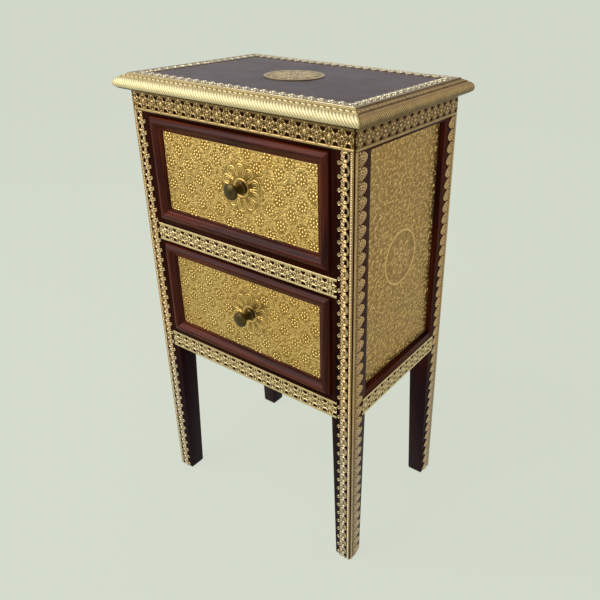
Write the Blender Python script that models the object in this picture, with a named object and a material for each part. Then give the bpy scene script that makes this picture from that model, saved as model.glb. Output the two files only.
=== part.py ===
"""Two-drawer bedside cabinet of dark hardwood, clad in pierced and embossed brass sheet.

Metres, +Z up. The front faces -Y and +X is the right-hand side of someone who faces it. The
floor is z = 0, and the origin is under the middle of the whole object, knobs included.
"""
import math

import bmesh
import bpy
from mathutils import Vector

# Gaps and sheet
SEAT_GAP = 0.0003
BRASS_THICKNESS = 0.0006

# Carcass, over its wooden faces
CARCASS_WIDTH = 0.380
CARCASS_DEPTH = 0.256
FRAME_HEIGHT = 0.680
LEG_HEIGHT = 0.267
POST_SIZE = 0.034
FOOT_SIZE = 0.027
FOOT_ROUND = 0.0015

# Rails and their joinery
RAIL_THICKNESS = 0.020
TOP_RAIL_HEIGHT = 0.031
MID_RAIL_HEIGHT = 0.037
BOTTOM_RAIL_HEIGHT = 0.036
SIDE_BOTTOM_RAIL_HEIGHT = 0.040
TENON_LENGTH = 0.014
TENON_THICKNESS = 0.008
TENON_SHOULDER = 0.0065

# Panels that sit in grooves
PANEL_THICKNESS = 0.006
PANEL_SET_BACK = 0.0085
GROOVE_DEPTH = 0.004
SHEET_MARGIN = 0.0008

# Top board and its moulded edge, measured outwards from the carcass and upwards from its underside
TOP_THICKNESS = 0.0215
TOP_OVERHANG = 0.016
UNDERSIDE_OVERHANG = 0.002
ROLL_DEPTH = 0.010
ROLL_HEIGHT = 0.015
ROLL_LIFT = 0.0005
ROLL_START_DEGREES = -80
ROLL_END_DEGREES = 58
BAND_OUTER = 0.0085
BAND_INNER = 0.0028
BAND_DROP = 0.0043
BAND_RISE = 0.0022
FLAT_OVERHANG = 0.0014
ARRIS_DROP = 0.0008
TOP_BORDER_WIDTH = 0.020
MEDALLION_DIAMETER = 0.089
MEDALLION_RIM = 0.004
MEDALLION_RIM_HEIGHT = 0.0012
MITRE_GAP = 0.0002

# Pierced frieze strips
STRIP_HEIGHT = 0.0275
STRIP_CORNER_MARGIN = 0.0009
FRIEZE_PITCH = 0.0178
PIERCING_BASE = 0.0084
PIERCING_HEIGHT = 0.0055
PIERCING_EDGE = 0.0045
BOTTOM_STRIP_MARGIN = 0.0014
MID_STRIP_DROP = 0.003

# Strips on the posts
POST_STRIP_WIDTH = 0.0235
POST_STRIP_FOOT = 0.002
SCROLL_PITCH = 0.0166
SCROLL_RING_REACH = 0.0182
SCROLL_ROOT = 0.0160
SCROLL_TAB_HEIGHT = 0.0050
SCROLL_TAB_NOSE = (0.3, 0.8)
SCROLL_RING_NOSE = (0.3, 0.7)
SCROLL_EYE_PLACE = 0.0114
SCROLL_EYE_WIDTH = 0.0036
SCROLL_EYE_HEIGHT = 0.0056
LEAF_PITCH = 0.0183
LEAF_EDGE = ((0.0118, 0.0), (0.0165, 0.11), (0.0205, 0.34), (0.0230, 0.515), (0.0205, 0.72), (0.0163, 0.94))

# Drawers
DRAWER_GAP = 0.0015
DRAWER_LENGTH = 0.215
FRONT_SET_BACK = 0.0032
FRONT_THICKNESS = 0.014
DRAWER_SIDE_THICKNESS = 0.011
DRAWER_SIDE_HEIGHT = 0.125
DRAWER_SIDE_INSET = 0.0015
DRAWER_BACK_THICKNESS = 0.011
DRAWER_BACK_DROP = 0.010
DRAWER_LAP = 0.007
DRAWER_BOTTOM_THICKNESS = 0.004
DRAWER_BOTTOM_RISE = 0.008
DRAWER_BOTTOM_GROOVE = 0.004
RUNNER_WIDTH = 0.0185
RUNNER_HEIGHT = 0.018

# Moulded frame on a drawer front, heights from the face of the posts
MOULDING_WIDTH = 0.018
MOULDING_EDGE = 0.0032
MOULDING_CREST = 0.0075
MOULDING_CREST_PLACE = 0.0072
MOULDING_SLOPE_END = 0.0160
MOULDING_LIP = 0.0012
MOULDING_STEP = 0.0010

# Knob and its screw, with the knob set a little to the right of the middle and above it
KNOB_ASIDE = 0.0075
KNOB_RAISED = 0.0025
KNOB_DISC_DIAMETER = 0.0232
KNOB_UNDER_DIAMETER = 0.0208
KNOB_FACE_DIAMETER = 0.0215
KNOB_DOME_DIAMETER = 0.0118
KNOB_NECK_DIAMETER = 0.0105
KNOB_FLARE_DIAMETER = 0.0121
KNOB_BASE_DIAMETER = 0.018
KNOB_PROJECTION = 0.024
KNOB_DISC_THICKNESS = 0.0065
KNOB_EDGE_RISE = 0.0020
KNOB_FACE_RISE = 0.0039
KNOB_DOME_DROP = 0.0007
KNOB_FLARE_DROP = 0.0016
KNOB_BASE_THICKNESS = 0.0035
SCREW_DIAMETER = 0.004
SCREW_HEAD_DIAMETER = 0.009
SCREW_HEAD_HEIGHT = 0.0028
SCREW_CROWN_DIAMETER = 0.0063
SCREW_CROWN_RISE = 0.0021
SCREW_GRIP = 0.008

# Facets
KNOB_FACETS = 20
SCREW_FACETS = 10
MEDALLION_FACETS = 36
ROLL_FACETS = 7
MOULDING_FACETS = 4
SMOOTH_UP_TO_DEGREES = 40
MERGE_DISTANCE = 1e-6

# Places that follow from the sizes above
HALF_WIDTH = CARCASS_WIDTH / 2
HALF_DEPTH = CARCASS_DEPTH / 2
POST_INNER_X = HALF_WIDTH - POST_SIZE
POST_INNER_Y = HALF_DEPTH - POST_SIZE
BRASS_LIFT = SEAT_GAP + BRASS_THICKNESS
BOTTOM_RAIL_TOP = LEG_HEIGHT + BOTTOM_RAIL_HEIGHT
TOP_RAIL_UNDER = FRAME_HEIGHT - TOP_RAIL_HEIGHT
OPENING_HEIGHT = (TOP_RAIL_UNDER - BOTTOM_RAIL_TOP - MID_RAIL_HEIGHT) / 2
MID_RAIL_UNDER = BOTTOM_RAIL_TOP + OPENING_HEIGHT
UPPER_OPENING = MID_RAIL_UNDER + MID_RAIL_HEIGHT
SIDE_BOTTOM_RAIL_TOP = LEG_HEIGHT + SIDE_BOTTOM_RAIL_HEIGHT
TOP_UNDERSIDE = FRAME_HEIGHT + SEAT_GAP
TOP_STRIP_UNDER = FRAME_HEIGHT - STRIP_HEIGHT
DRAWER_FRONT_WIDTH = 2 * POST_INNER_X - 2 * DRAWER_GAP
DRAWER_FRONT_HEIGHT = OPENING_HEIGHT - 2 * DRAWER_GAP
SHEET_FACE = FRONT_SET_BACK - BRASS_LIFT
KNOB_SEAT = SHEET_FACE - SEAT_GAP
FRONT_REACH = HALF_DEPTH + max(KNOB_PROJECTION - KNOB_SEAT, TOP_OVERHANG + BRASS_LIFT)
BACK_REACH = HALF_DEPTH + TOP_OVERHANG + BRASS_LIFT
CABINET_SHIFT = (FRONT_REACH - BACK_REACH) / 2

SIDES = (("left", -1), ("right", 1))
ENDS = (("front", -1), ("back", 1))
ACROSS = Vector((1, 0, 0))
BACKWARDS = Vector((0, 1, 0))
UPWARDS = Vector((0, 0, 1))


# Scene and materials
def clear_scene():
    for obj in list(bpy.data.objects):
        bpy.data.objects.remove(obj, do_unlink=True)


def finish(name, colour, roughness, metallic):
    """A Principled material in one plain finish."""
    material = bpy.data.materials.new(name)
    material.use_nodes = True
    shader = material.node_tree.nodes["Principled BSDF"]
    shader.inputs["Base Color"].default_value = (*colour, 1.0)
    shader.inputs["Roughness"].default_value = roughness
    shader.inputs["Metallic"].default_value = metallic
    return material


def make_finishes():
    return {
        "wood": finish("stained_hardwood", (0.055, 0.014, 0.009), 0.25, 0.0),
        "plywood": finish("bare_plywood", (0.33, 0.21, 0.11), 0.7, 0.0),
        "brass": finish("brass_sheet", (0.66, 0.49, 0.17), 0.3, 1.0),
        "bronze": finish("aged_bronze", (0.12, 0.09, 0.055), 0.4, 1.0),
        "steel": finish("plain_steel", (0.45, 0.44, 0.42), 0.4, 1.0),
    }


# Helpers that make an object
def empty(name, parent, place):
    obj = bpy.data.objects.new(name, None)
    bpy.context.scene.collection.objects.link(obj)
    obj.parent = parent
    obj.location = place
    return obj


def add(name, bm, material, parent, place=(0, 0, 0), smooth=False):
    """Turn a bmesh into a named object on its parent."""
    bmesh.ops.recalc_face_normals(bm, faces=bm.faces[:])
    mesh = bpy.data.meshes.new(name)
    bm.to_mesh(mesh)
    bm.free()
    mesh.materials.append(material)
    if smooth:
        mesh.shade_smooth()
        mesh.set_sharp_from_angle(angle=math.radians(SMOOTH_UP_TO_DEGREES))
    obj = bpy.data.objects.new(name, mesh)
    bpy.context.scene.collection.objects.link(obj)
    obj.parent = parent
    obj.location = place
    return obj


def box(name, low, high, material, parent):
    """A block between two corners, with its origin at its middle."""
    low = Vector(low)
    high = Vector(high)
    bm = bmesh.new()
    bmesh.ops.create_cube(bm, size=1.0)
    bmesh.ops.scale(bm, vec=high - low, verts=bm.verts[:])
    return add(name, bm, material, parent, (low + high) / 2)


def grown(low, high, margin):
    """The same block with a margin on every side."""
    spread = Vector((margin, margin, margin))
    return Vector(low) - spread, Vector(high) + spread


def tool(obj):
    """Mark an object as one that only shapes others."""
    obj.hide_render = True
    obj.display_type = "WIRE"
    return obj


def combine(obj, shaper, operation):
    modifier = obj.modifiers.new(shaper.name, "BOOLEAN")
    modifier.operation = operation
    modifier.solver = "EXACT"
    modifier.object = shaper


def prism(outline, sweep):
    """Extrude one flat outline along a vector."""
    bm = bmesh.new()
    face = bm.faces.new([bm.verts.new(point) for point in outline])
    result = bmesh.ops.extrude_face_region(bm, geom=[face])
    moved = [item for item in result["geom"] if isinstance(item, bmesh.types.BMVert)]
    bmesh.ops.translate(bm, verts=moved, vec=sweep)
    return bm


def stack(rings):
    """Extrude a face upwards through rings that all have the same number of points."""
    bm = bmesh.new()
    face = bm.faces.new([bm.verts.new(point) for point in rings[0]])
    for index, ring in enumerate(rings[1:]):
        result = bmesh.ops.extrude_face_region(bm, geom=[face])
        if index > 0:
            bmesh.ops.delete(bm, geom=[face], context="FACES_ONLY")
        face = next(item for item in result["geom"] if isinstance(item, bmesh.types.BMFace))
        for loop, point in zip(face.loops, ring):
            loop.vert.co = point
    return bm


def turned(profile, facets, axis):
    """Spin a profile of (radius, height) pairs about an axis that starts at the local origin."""
    bm = bmesh.new()
    side = axis.orthogonal().normalized()
    verts = [bm.verts.new(side * radius + axis * height) for radius, height in profile]
    edges = [bm.edges.new(pair) for pair in zip(verts, verts[1:])]
    bmesh.ops.spin(bm, geom=verts + edges, axis=axis, cent=(0, 0, 0), angle=math.tau,
                   steps=facets, use_merge=True)
    bmesh.ops.remove_doubles(bm, verts=bm.verts[:], dist=MERGE_DISTANCE)
    return bm


def pierced_sheet(outline, holes, across, along, sweep):
    """A flat sheet with holes, from outlines in (across, along) pairs."""
    bm = bmesh.new()
    edges = []
    for loop in [outline] + holes:
        verts = [bm.verts.new(across * a + along * b) for a, b in loop]
        edges += [bm.edges.new((verts[i - 1], verts[i])) for i in range(len(verts))]
    bmesh.ops.triangle_fill(bm, use_beauty=True, edges=edges, normal=across.cross(along))
    result = bmesh.ops.extrude_face_region(bm, geom=bm.faces[:])
    moved = [item for item in result["geom"] if isinstance(item, bmesh.types.BMVert)]
    bmesh.ops.translate(bm, verts=moved, vec=sweep)
    return bm


def offset_line(points, distance):
    """Move an open line of (out, up) points by a distance, to the right of the way it runs."""
    normals = []
    for start, end in zip(points, points[1:]):
        run = (Vector(end) - Vector(start)).normalized()
        normals.append(Vector((run.y, -run.x)))
    moved = []
    for index, point in enumerate(points):
        before = normals[max(index - 1, 0)]
        after = normals[min(index, len(normals) - 1)]
        bisector = (before + after).normalized()
        moved.append(Vector(point) + bisector * (distance / bisector.dot(after)))
    return moved


# Carcass
def make_post(name, side, end, material, cabinet):
    """A square post whose two inner faces taper below the rails."""
    def ring(size, height):
        corner = Vector((side * HALF_WIDTH, end * HALF_DEPTH, height))
        inward_x = Vector((-side * size, 0, 0))
        inward_y = Vector((0, -end * size, 0))
        return [corner, corner + inward_x, corner + inward_x + inward_y, corner + inward_y]

    bm = stack([ring(FOOT_SIZE, 0), ring(POST_SIZE, LEG_HEIGHT), ring(POST_SIZE, FRAME_HEIGHT)])
    foot_edges = [edge for edge in bm.edges if max(vert.co.z for vert in edge.verts) == 0]
    bmesh.ops.bevel(bm, geom=foot_edges, offset=FOOT_ROUND, segments=2, profile=0.5, affect="EDGES")
    return add(name, bm, material, cabinet)


def make_rail(name, low, high, run, material, cabinet):
    """A rail with a tenon at each end, and the tool that cuts the mortises for it.

    run is the axis that the rail lies along: 0 for a front or back rail, 1 for a side rail.
    """
    rail = box(name, low, high, material, cabinet)
    thick = 1 - run
    middle = (low[thick] + high[thick]) / 2
    tenon_low = Vector(low)
    tenon_high = Vector(high)
    tenon_low[run] -= TENON_LENGTH
    tenon_high[run] += TENON_LENGTH
    tenon_low[thick] = middle - TENON_THICKNESS / 2
    tenon_high[thick] = middle + TENON_THICKNESS / 2
    tenon_low.z += TENON_SHOULDER
    tenon_high.z -= TENON_SHOULDER
    tenon = tool(box(name + "_tenons", tenon_low, tenon_high, material, cabinet))
    combine(rail, tenon, "UNION")
    mortise = tool(box(name + "_mortises", *grown(tenon_low, tenon_high, SEAT_GAP), material, cabinet))
    return rail, mortise


def make_panel(name, low, high, material, cabinet):
    """A panel that reaches into grooves, and the tool that cuts those grooves."""
    panel = box(name, low, high, material, cabinet)
    groove = tool(box(name + "_groove", *grown(low, high, SEAT_GAP), material, cabinet))
    return panel, groove


def make_carcass(finishes, cabinet):
    wood = finishes["wood"]
    posts = {}
    for end_name, end in ENDS:
        for side_name, side in SIDES:
            name = f"post_{end_name}_{side_name}"
            posts[side, end] = make_post(name, side, end, wood, cabinet)

    long_x = POST_INNER_X - SEAT_GAP
    rails_x = {
        "front_top_rail": (-1, TOP_RAIL_UNDER, FRAME_HEIGHT),
        "front_mid_rail": (-1, MID_RAIL_UNDER, UPPER_OPENING),
        "front_bottom_rail": (-1, LEG_HEIGHT, BOTTOM_RAIL_TOP),
        "back_top_rail": (1, TOP_RAIL_UNDER, FRAME_HEIGHT),
        "back_bottom_rail": (1, LEG_HEIGHT, SIDE_BOTTOM_RAIL_TOP),
    }
    made = {}
    for name, (end, under, upper) in rails_x.items():
        faces = sorted((end * HALF_DEPTH, end * (HALF_DEPTH - RAIL_THICKNESS)))
        low = (-long_x, faces[0], under)
        high = (long_x, faces[1], upper)
        made[name], mortise = make_rail(name, low, high, 0, wood, cabinet)
        for _, side in SIDES:
            combine(posts[side, end], mortise, "DIFFERENCE")

    long_y = POST_INNER_Y - SEAT_GAP
    for side_name, side in SIDES:
        faces = sorted((side * HALF_WIDTH, side * (HALF_WIDTH - RAIL_THICKNESS)))
        for level, under, upper in (("top", TOP_RAIL_UNDER, FRAME_HEIGHT),
                                    ("bottom", LEG_HEIGHT, SIDE_BOTTOM_RAIL_TOP)):
            name = f"{side_name}_{level}_rail"
            low = (faces[0], -long_y, under)
            high = (faces[1], long_y, upper)
            made[name], mortise = make_rail(name, low, high, 1, wood, cabinet)
            for _, end in ENDS:
                combine(posts[side, end], mortise, "DIFFERENCE")

    reach = GROOVE_DEPTH - SEAT_GAP
    under = SIDE_BOTTOM_RAIL_TOP - reach
    upper = TOP_RAIL_UNDER + reach
    for side_name, side in SIDES:
        outer = HALF_WIDTH - PANEL_SET_BACK
        faces = sorted((side * outer, side * (outer - PANEL_THICKNESS)))
        low = (faces[0], -POST_INNER_Y - reach, under)
        high = (faces[1], POST_INNER_Y + reach, upper)
        _, groove = make_panel(f"{side_name}_side_panel", low, high, wood, cabinet)
        for part in (posts[side, -1], posts[side, 1], made[f"{side_name}_top_rail"],
                     made[f"{side_name}_bottom_rail"]):
            combine(part, groove, "DIFFERENCE")

    outer = HALF_DEPTH - PANEL_SET_BACK
    low = (-POST_INNER_X - reach, outer - PANEL_THICKNESS, under)
    high = (POST_INNER_X + reach, outer, upper)
    _, groove = make_panel("back_panel", low, high, finishes["plywood"], cabinet)
    for part in (posts[-1, 1], posts[1, 1], made["back_top_rail"], made["back_bottom_rail"]):
        combine(part, groove, "DIFFERENCE")


def make_runners(finishes, cabinet):
    """Strips on the inner faces of the posts, level with the rails that the drawers slide over."""
    reach = HALF_DEPTH - RAIL_THICKNESS - SEAT_GAP
    for level, opening in (("upper", UPPER_OPENING), ("lower", BOTTOM_RAIL_TOP)):
        for side_name, side in SIDES:
            outer = POST_INNER_X - SEAT_GAP
            faces = sorted((side * outer, side * (outer - RUNNER_WIDTH)))
            low = (faces[0], -reach, opening - RUNNER_HEIGHT)
            high = (faces[1], reach, opening)
            box(f"{level}_{side_name}_runner", low, high, finishes["plywood"], cabinet)


# Top board with its brass edge
def top_edge_profile():
    """The moulded wooden edge as (out, up) points, from the underside to the flat."""
    points = [(UNDERSIDE_OVERHANG, 0.0)]
    first = math.radians(ROLL_START_DEGREES)
    last = math.radians(ROLL_END_DEGREES)
    for step in range(ROLL_FACETS + 1):
        angle = first + (last - first) * step / ROLL_FACETS
        out = TOP_OVERHANG - ROLL_DEPTH + ROLL_DEPTH * math.cos(angle)
        up = ROLL_LIFT + ROLL_HEIGHT / 2 * (1 + math.sin(angle))
        points.append((out, up))
    band = TOP_THICKNESS - BAND_DROP
    points.append((BAND_OUTER, band))
    points.append((BAND_INNER, band + BAND_RISE))
    points.append((FLAT_OVERHANG + ARRIS_DROP, TOP_THICKNESS - ARRIS_DROP))
    points.append((FLAT_OVERHANG, TOP_THICKNESS))
    return points


def make_top(finishes, cabinet):
    def ring(out, up):
        x = HALF_WIDTH + out
        y = HALF_DEPTH + out
        return [Vector((-x, -y, up)), Vector((x, -y, up)), Vector((x, y, up)), Vector((-x, y, up))]

    profile = top_edge_profile()
    bm = stack([ring(out, up) for out, up in profile])
    add("top_board", bm, finishes["wood"], cabinet, (0, 0, TOP_UNDERSIDE))

    covered = profile[2:] + [(-TOP_BORDER_WIDTH, TOP_THICKNESS)]
    section = offset_line(covered, BRASS_LIFT) + offset_line(covered, SEAT_GAP)[::-1]
    for name, turn, half_run, half_out in (
            ("front", 0, HALF_WIDTH, HALF_DEPTH), ("right", 1, HALF_DEPTH, HALF_WIDTH),
            ("back", 2, HALF_WIDTH, HALF_DEPTH), ("left", 3, HALF_DEPTH, HALF_WIDTH)):
        bm = prism([(0, -half_out - out, up) for out, up in section], ACROSS)
        for vert in bm.verts:
            end = 1 if vert.co.x > 0 else -1
            out = -vert.co.y - half_out
            vert.co.x = end * (half_run + out - MITRE_GAP)
        trim = add(f"top_edge_brass_{name}", bm, finishes["brass"], cabinet, (0, 0, TOP_UNDERSIDE))
        trim.rotation_euler.z = turn * math.pi / 2

    radius = MEDALLION_DIAMETER / 2
    raised = BRASS_THICKNESS + MEDALLION_RIM_HEIGHT
    outline = [(0, BRASS_THICKNESS), (radius - MEDALLION_RIM, BRASS_THICKNESS),
               (radius - MEDALLION_RIM / 2, raised), (radius, BRASS_THICKNESS), (radius, 0), (0, 0)]
    bm = turned(outline, MEDALLION_FACETS, UPWARDS)
    place = (0, 0, TOP_UNDERSIDE + TOP_THICKNESS + SEAT_GAP)
    add("top_medallion", bm, finishes["brass"], cabinet, place, smooth=True)


# Pierced and scalloped brass strips
def frieze_holes(length):
    """Pairs of triangular piercings that point at each other, one pair to each repeat."""
    count = max(1, round(length / FRIEZE_PITCH))
    step = length / count
    holes = []
    for index in range(count):
        middle = step * (index + 0.5)
        for base, point in ((PIERCING_EDGE, PIERCING_EDGE + PIERCING_HEIGHT),
                            (STRIP_HEIGHT - PIERCING_EDGE, STRIP_HEIGHT - PIERCING_EDGE - PIERCING_HEIGHT)):
            holes.append([(middle - PIERCING_BASE / 2, base), (middle + PIERCING_BASE / 2, base),
                          (middle, point)])
    return holes


def make_frieze(name, start, across, outward, length, finishes, cabinet):
    """One strip, from its lower corner on the wood along its run."""
    outline = [(0, 0), (length, 0), (length, STRIP_HEIGHT), (0, STRIP_HEIGHT)]
    bm = pierced_sheet(outline, frieze_holes(length), across, UPWARDS, outward * BRASS_THICKNESS)
    add(name, bm, finishes["brass"], cabinet, Vector(start) + outward * SEAT_GAP)


def make_friezes(finishes, cabinet):
    full_x = HALF_WIDTH - STRIP_CORNER_MARGIN
    full_y = HALF_DEPTH - STRIP_CORNER_MARGIN
    inner_x = full_x - POST_STRIP_WIDTH - SEAT_GAP
    inner_y = full_y - POST_STRIP_WIDTH - SEAT_GAP
    mid_under = (MID_RAIL_UNDER + UPPER_OPENING - STRIP_HEIGHT) / 2 - MID_STRIP_DROP
    bottom_under = LEG_HEIGHT + BOTTOM_STRIP_MARGIN
    for level, under, reach in (("top", TOP_STRIP_UNDER, full_x), ("mid", mid_under, inner_x),
                                ("bottom", bottom_under, inner_x)):
        make_frieze(f"front_{level}_strip", (-reach, -HALF_DEPTH, under), ACROSS, -BACKWARDS,
                    2 * reach, finishes, cabinet)
    for side_name, side in SIDES:
        for level, under, reach in (("top", TOP_STRIP_UNDER, full_y), ("bottom", bottom_under, inner_y)):
            make_frieze(f"{side_name}_{level}_strip", (side * HALF_WIDTH, -reach, under), BACKWARDS,
                        ACROSS * side, 2 * reach, finishes, cabinet)


def scroll_outline(length):
    """Half-open rings with a rounded tab between them, on a straight back edge."""
    count = max(1, round(length / SCROLL_PITCH))
    step = length / count
    points = [(0, 0)]
    holes = []
    for index in range(count):
        base = step * index
        tab = base + SCROLL_TAB_HEIGHT
        bulge = step - SCROLL_TAB_HEIGHT
        points.append((SCROLL_ROOT, base))
        points += [(POST_STRIP_WIDTH, base + SCROLL_TAB_HEIGHT * share) for share in SCROLL_TAB_NOSE]
        points.append((SCROLL_ROOT, tab))
        points += [(SCROLL_RING_REACH, tab + bulge * share) for share in SCROLL_RING_NOSE]
        middle = tab + bulge / 2
        holes.append([(SCROLL_EYE_PLACE - SCROLL_EYE_WIDTH / 2, middle),
                      (SCROLL_EYE_PLACE + SCROLL_EYE_WIDTH / 2, middle - SCROLL_EYE_HEIGHT / 2),
                      (SCROLL_EYE_PLACE + SCROLL_EYE_WIDTH / 2, middle + SCROLL_EYE_HEIGHT / 2)])
    points += [(SCROLL_ROOT, length), (0, length)]
    return points, holes


def leaf_outline(length, turned_over):
    """Pointed leaves side by side, on a straight back edge."""
    count = max(1, round(length / LEAF_PITCH))
    step = length / count
    points = [(0, 0)]
    for index in range(count):
        points += [(out, step * (index + share)) for out, share in LEAF_EDGE]
    points += [(LEAF_EDGE[0][0], length), (0, length)]
    if turned_over:
        points = [(out, length - up) for out, up in points]
    return points


def make_post_strips(finishes, cabinet):
    length = TOP_STRIP_UNDER - SEAT_GAP - POST_STRIP_FOOT
    edge_x = HALF_WIDTH - STRIP_CORNER_MARGIN
    edge_y = HALF_DEPTH - STRIP_CORNER_MARGIN
    outline, holes = scroll_outline(length)
    for side_name, side in SIDES:
        bm = pierced_sheet(outline, holes, ACROSS * -side, UPWARDS, -BACKWARDS * BRASS_THICKNESS)
        place = (side * edge_x, -HALF_DEPTH - SEAT_GAP, POST_STRIP_FOOT)
        add(f"front_{side_name}_scroll_strip", bm, finishes["brass"], cabinet, place)
        for end_name, end in ENDS:
            outward = ACROSS * side
            bm = pierced_sheet(leaf_outline(length, end > 0), [], BACKWARDS * -end, UPWARDS,
                               outward * BRASS_THICKNESS)
            place = (side * (HALF_WIDTH + SEAT_GAP), end * edge_y, POST_STRIP_FOOT)
            add(f"{side_name}_{end_name}_leaf_strip", bm, finishes["brass"], cabinet, place)


def make_side_sheets(finishes, cabinet):
    """Embossed sheets on the faces of the side panels."""
    reach = POST_INNER_Y - SHEET_MARGIN
    under = SIDE_BOTTOM_RAIL_TOP + SHEET_MARGIN
    upper = TOP_RAIL_UNDER - SHEET_MARGIN
    for side_name, side in SIDES:
        inner = HALF_WIDTH - PANEL_SET_BACK + SEAT_GAP
        faces = sorted((side * inner, side * (inner + BRASS_THICKNESS)))
        box(f"{side_name}_side_sheet", (faces[0], -reach, under), (faces[1], reach, upper),
            finishes["brass"], cabinet)


# Drawers, each about an empty at the middle of its opening's front lower edge
def moulding_section():
    """Outer edge to inner edge of the frame, as (in, out) points."""
    points = [(0, SEAT_GAP - FRONT_SET_BACK)]
    for step in range(MOULDING_FACETS + 1):
        turn = math.pi / 2 * step / MOULDING_FACETS
        points.append((MOULDING_CREST_PLACE * step / MOULDING_FACETS,
                       MOULDING_EDGE + (MOULDING_CREST - MOULDING_EDGE) * math.sin(turn)))
    slope = MOULDING_SLOPE_END - MOULDING_CREST_PLACE
    for step in range(1, MOULDING_FACETS + 1):
        turn = math.pi * step / MOULDING_FACETS
        points.append((MOULDING_CREST_PLACE + slope * step / MOULDING_FACETS,
                       MOULDING_LIP + (MOULDING_CREST - MOULDING_LIP) * (1 + math.cos(turn)) / 2))
    points.append((MOULDING_SLOPE_END, MOULDING_LIP - MOULDING_STEP))
    points.append((MOULDING_WIDTH, MOULDING_LIP - MOULDING_STEP))
    points.append((MOULDING_WIDTH, SEAT_GAP - FRONT_SET_BACK))
    return points


def make_moulding(name, centre, material, drawer):
    """A frame of mitred moulding, glued up as one, round the edge of a drawer front."""
    bm = bmesh.new()
    rings = []
    for inward, outward in moulding_section():
        x = DRAWER_FRONT_WIDTH / 2 - inward
        z = DRAWER_FRONT_HEIGHT / 2 - inward
        corners = [Vector((-x, -outward, -z)), Vector((x, -outward, -z)),
                   Vector((x, -outward, z)), Vector((-x, -outward, z))]
        rings.append([bm.verts.new(corner) for corner in corners])
    for outer, inner in zip(rings, rings[1:] + rings[:1]):
        for index in range(4):
            bm.faces.new((outer[index - 1], outer[index], inner[index], inner[index - 1]))
    return add(name, bm, material, drawer, centre)


def knob_profile():
    """Flange, waist and domed disc, from the blind hole in the seat to the middle of the face."""
    bore = SCREW_DIAMETER / 2 + SEAT_GAP
    deep = SCREW_GRIP + 2 * SEAT_GAP
    base = KNOB_BASE_DIAMETER / 2
    flare = KNOB_FLARE_DIAMETER / 2
    under = KNOB_PROJECTION - KNOB_DISC_THICKNESS
    return [(0, deep), (bore, deep), (bore, 0), (base, 0), (base, KNOB_BASE_THICKNESS / 2),
            (flare, KNOB_BASE_THICKNESS), (KNOB_NECK_DIAMETER / 2, (KNOB_BASE_THICKNESS + under) / 2),
            (flare, under - KNOB_FLARE_DROP), (KNOB_UNDER_DIAMETER / 2, under),
            (KNOB_DISC_DIAMETER / 2, under + KNOB_EDGE_RISE),
            (KNOB_FACE_DIAMETER / 2, under + KNOB_FACE_RISE),
            (KNOB_DOME_DIAMETER / 2, KNOB_PROJECTION - KNOB_DOME_DROP), (0, KNOB_PROJECTION)]


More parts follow.
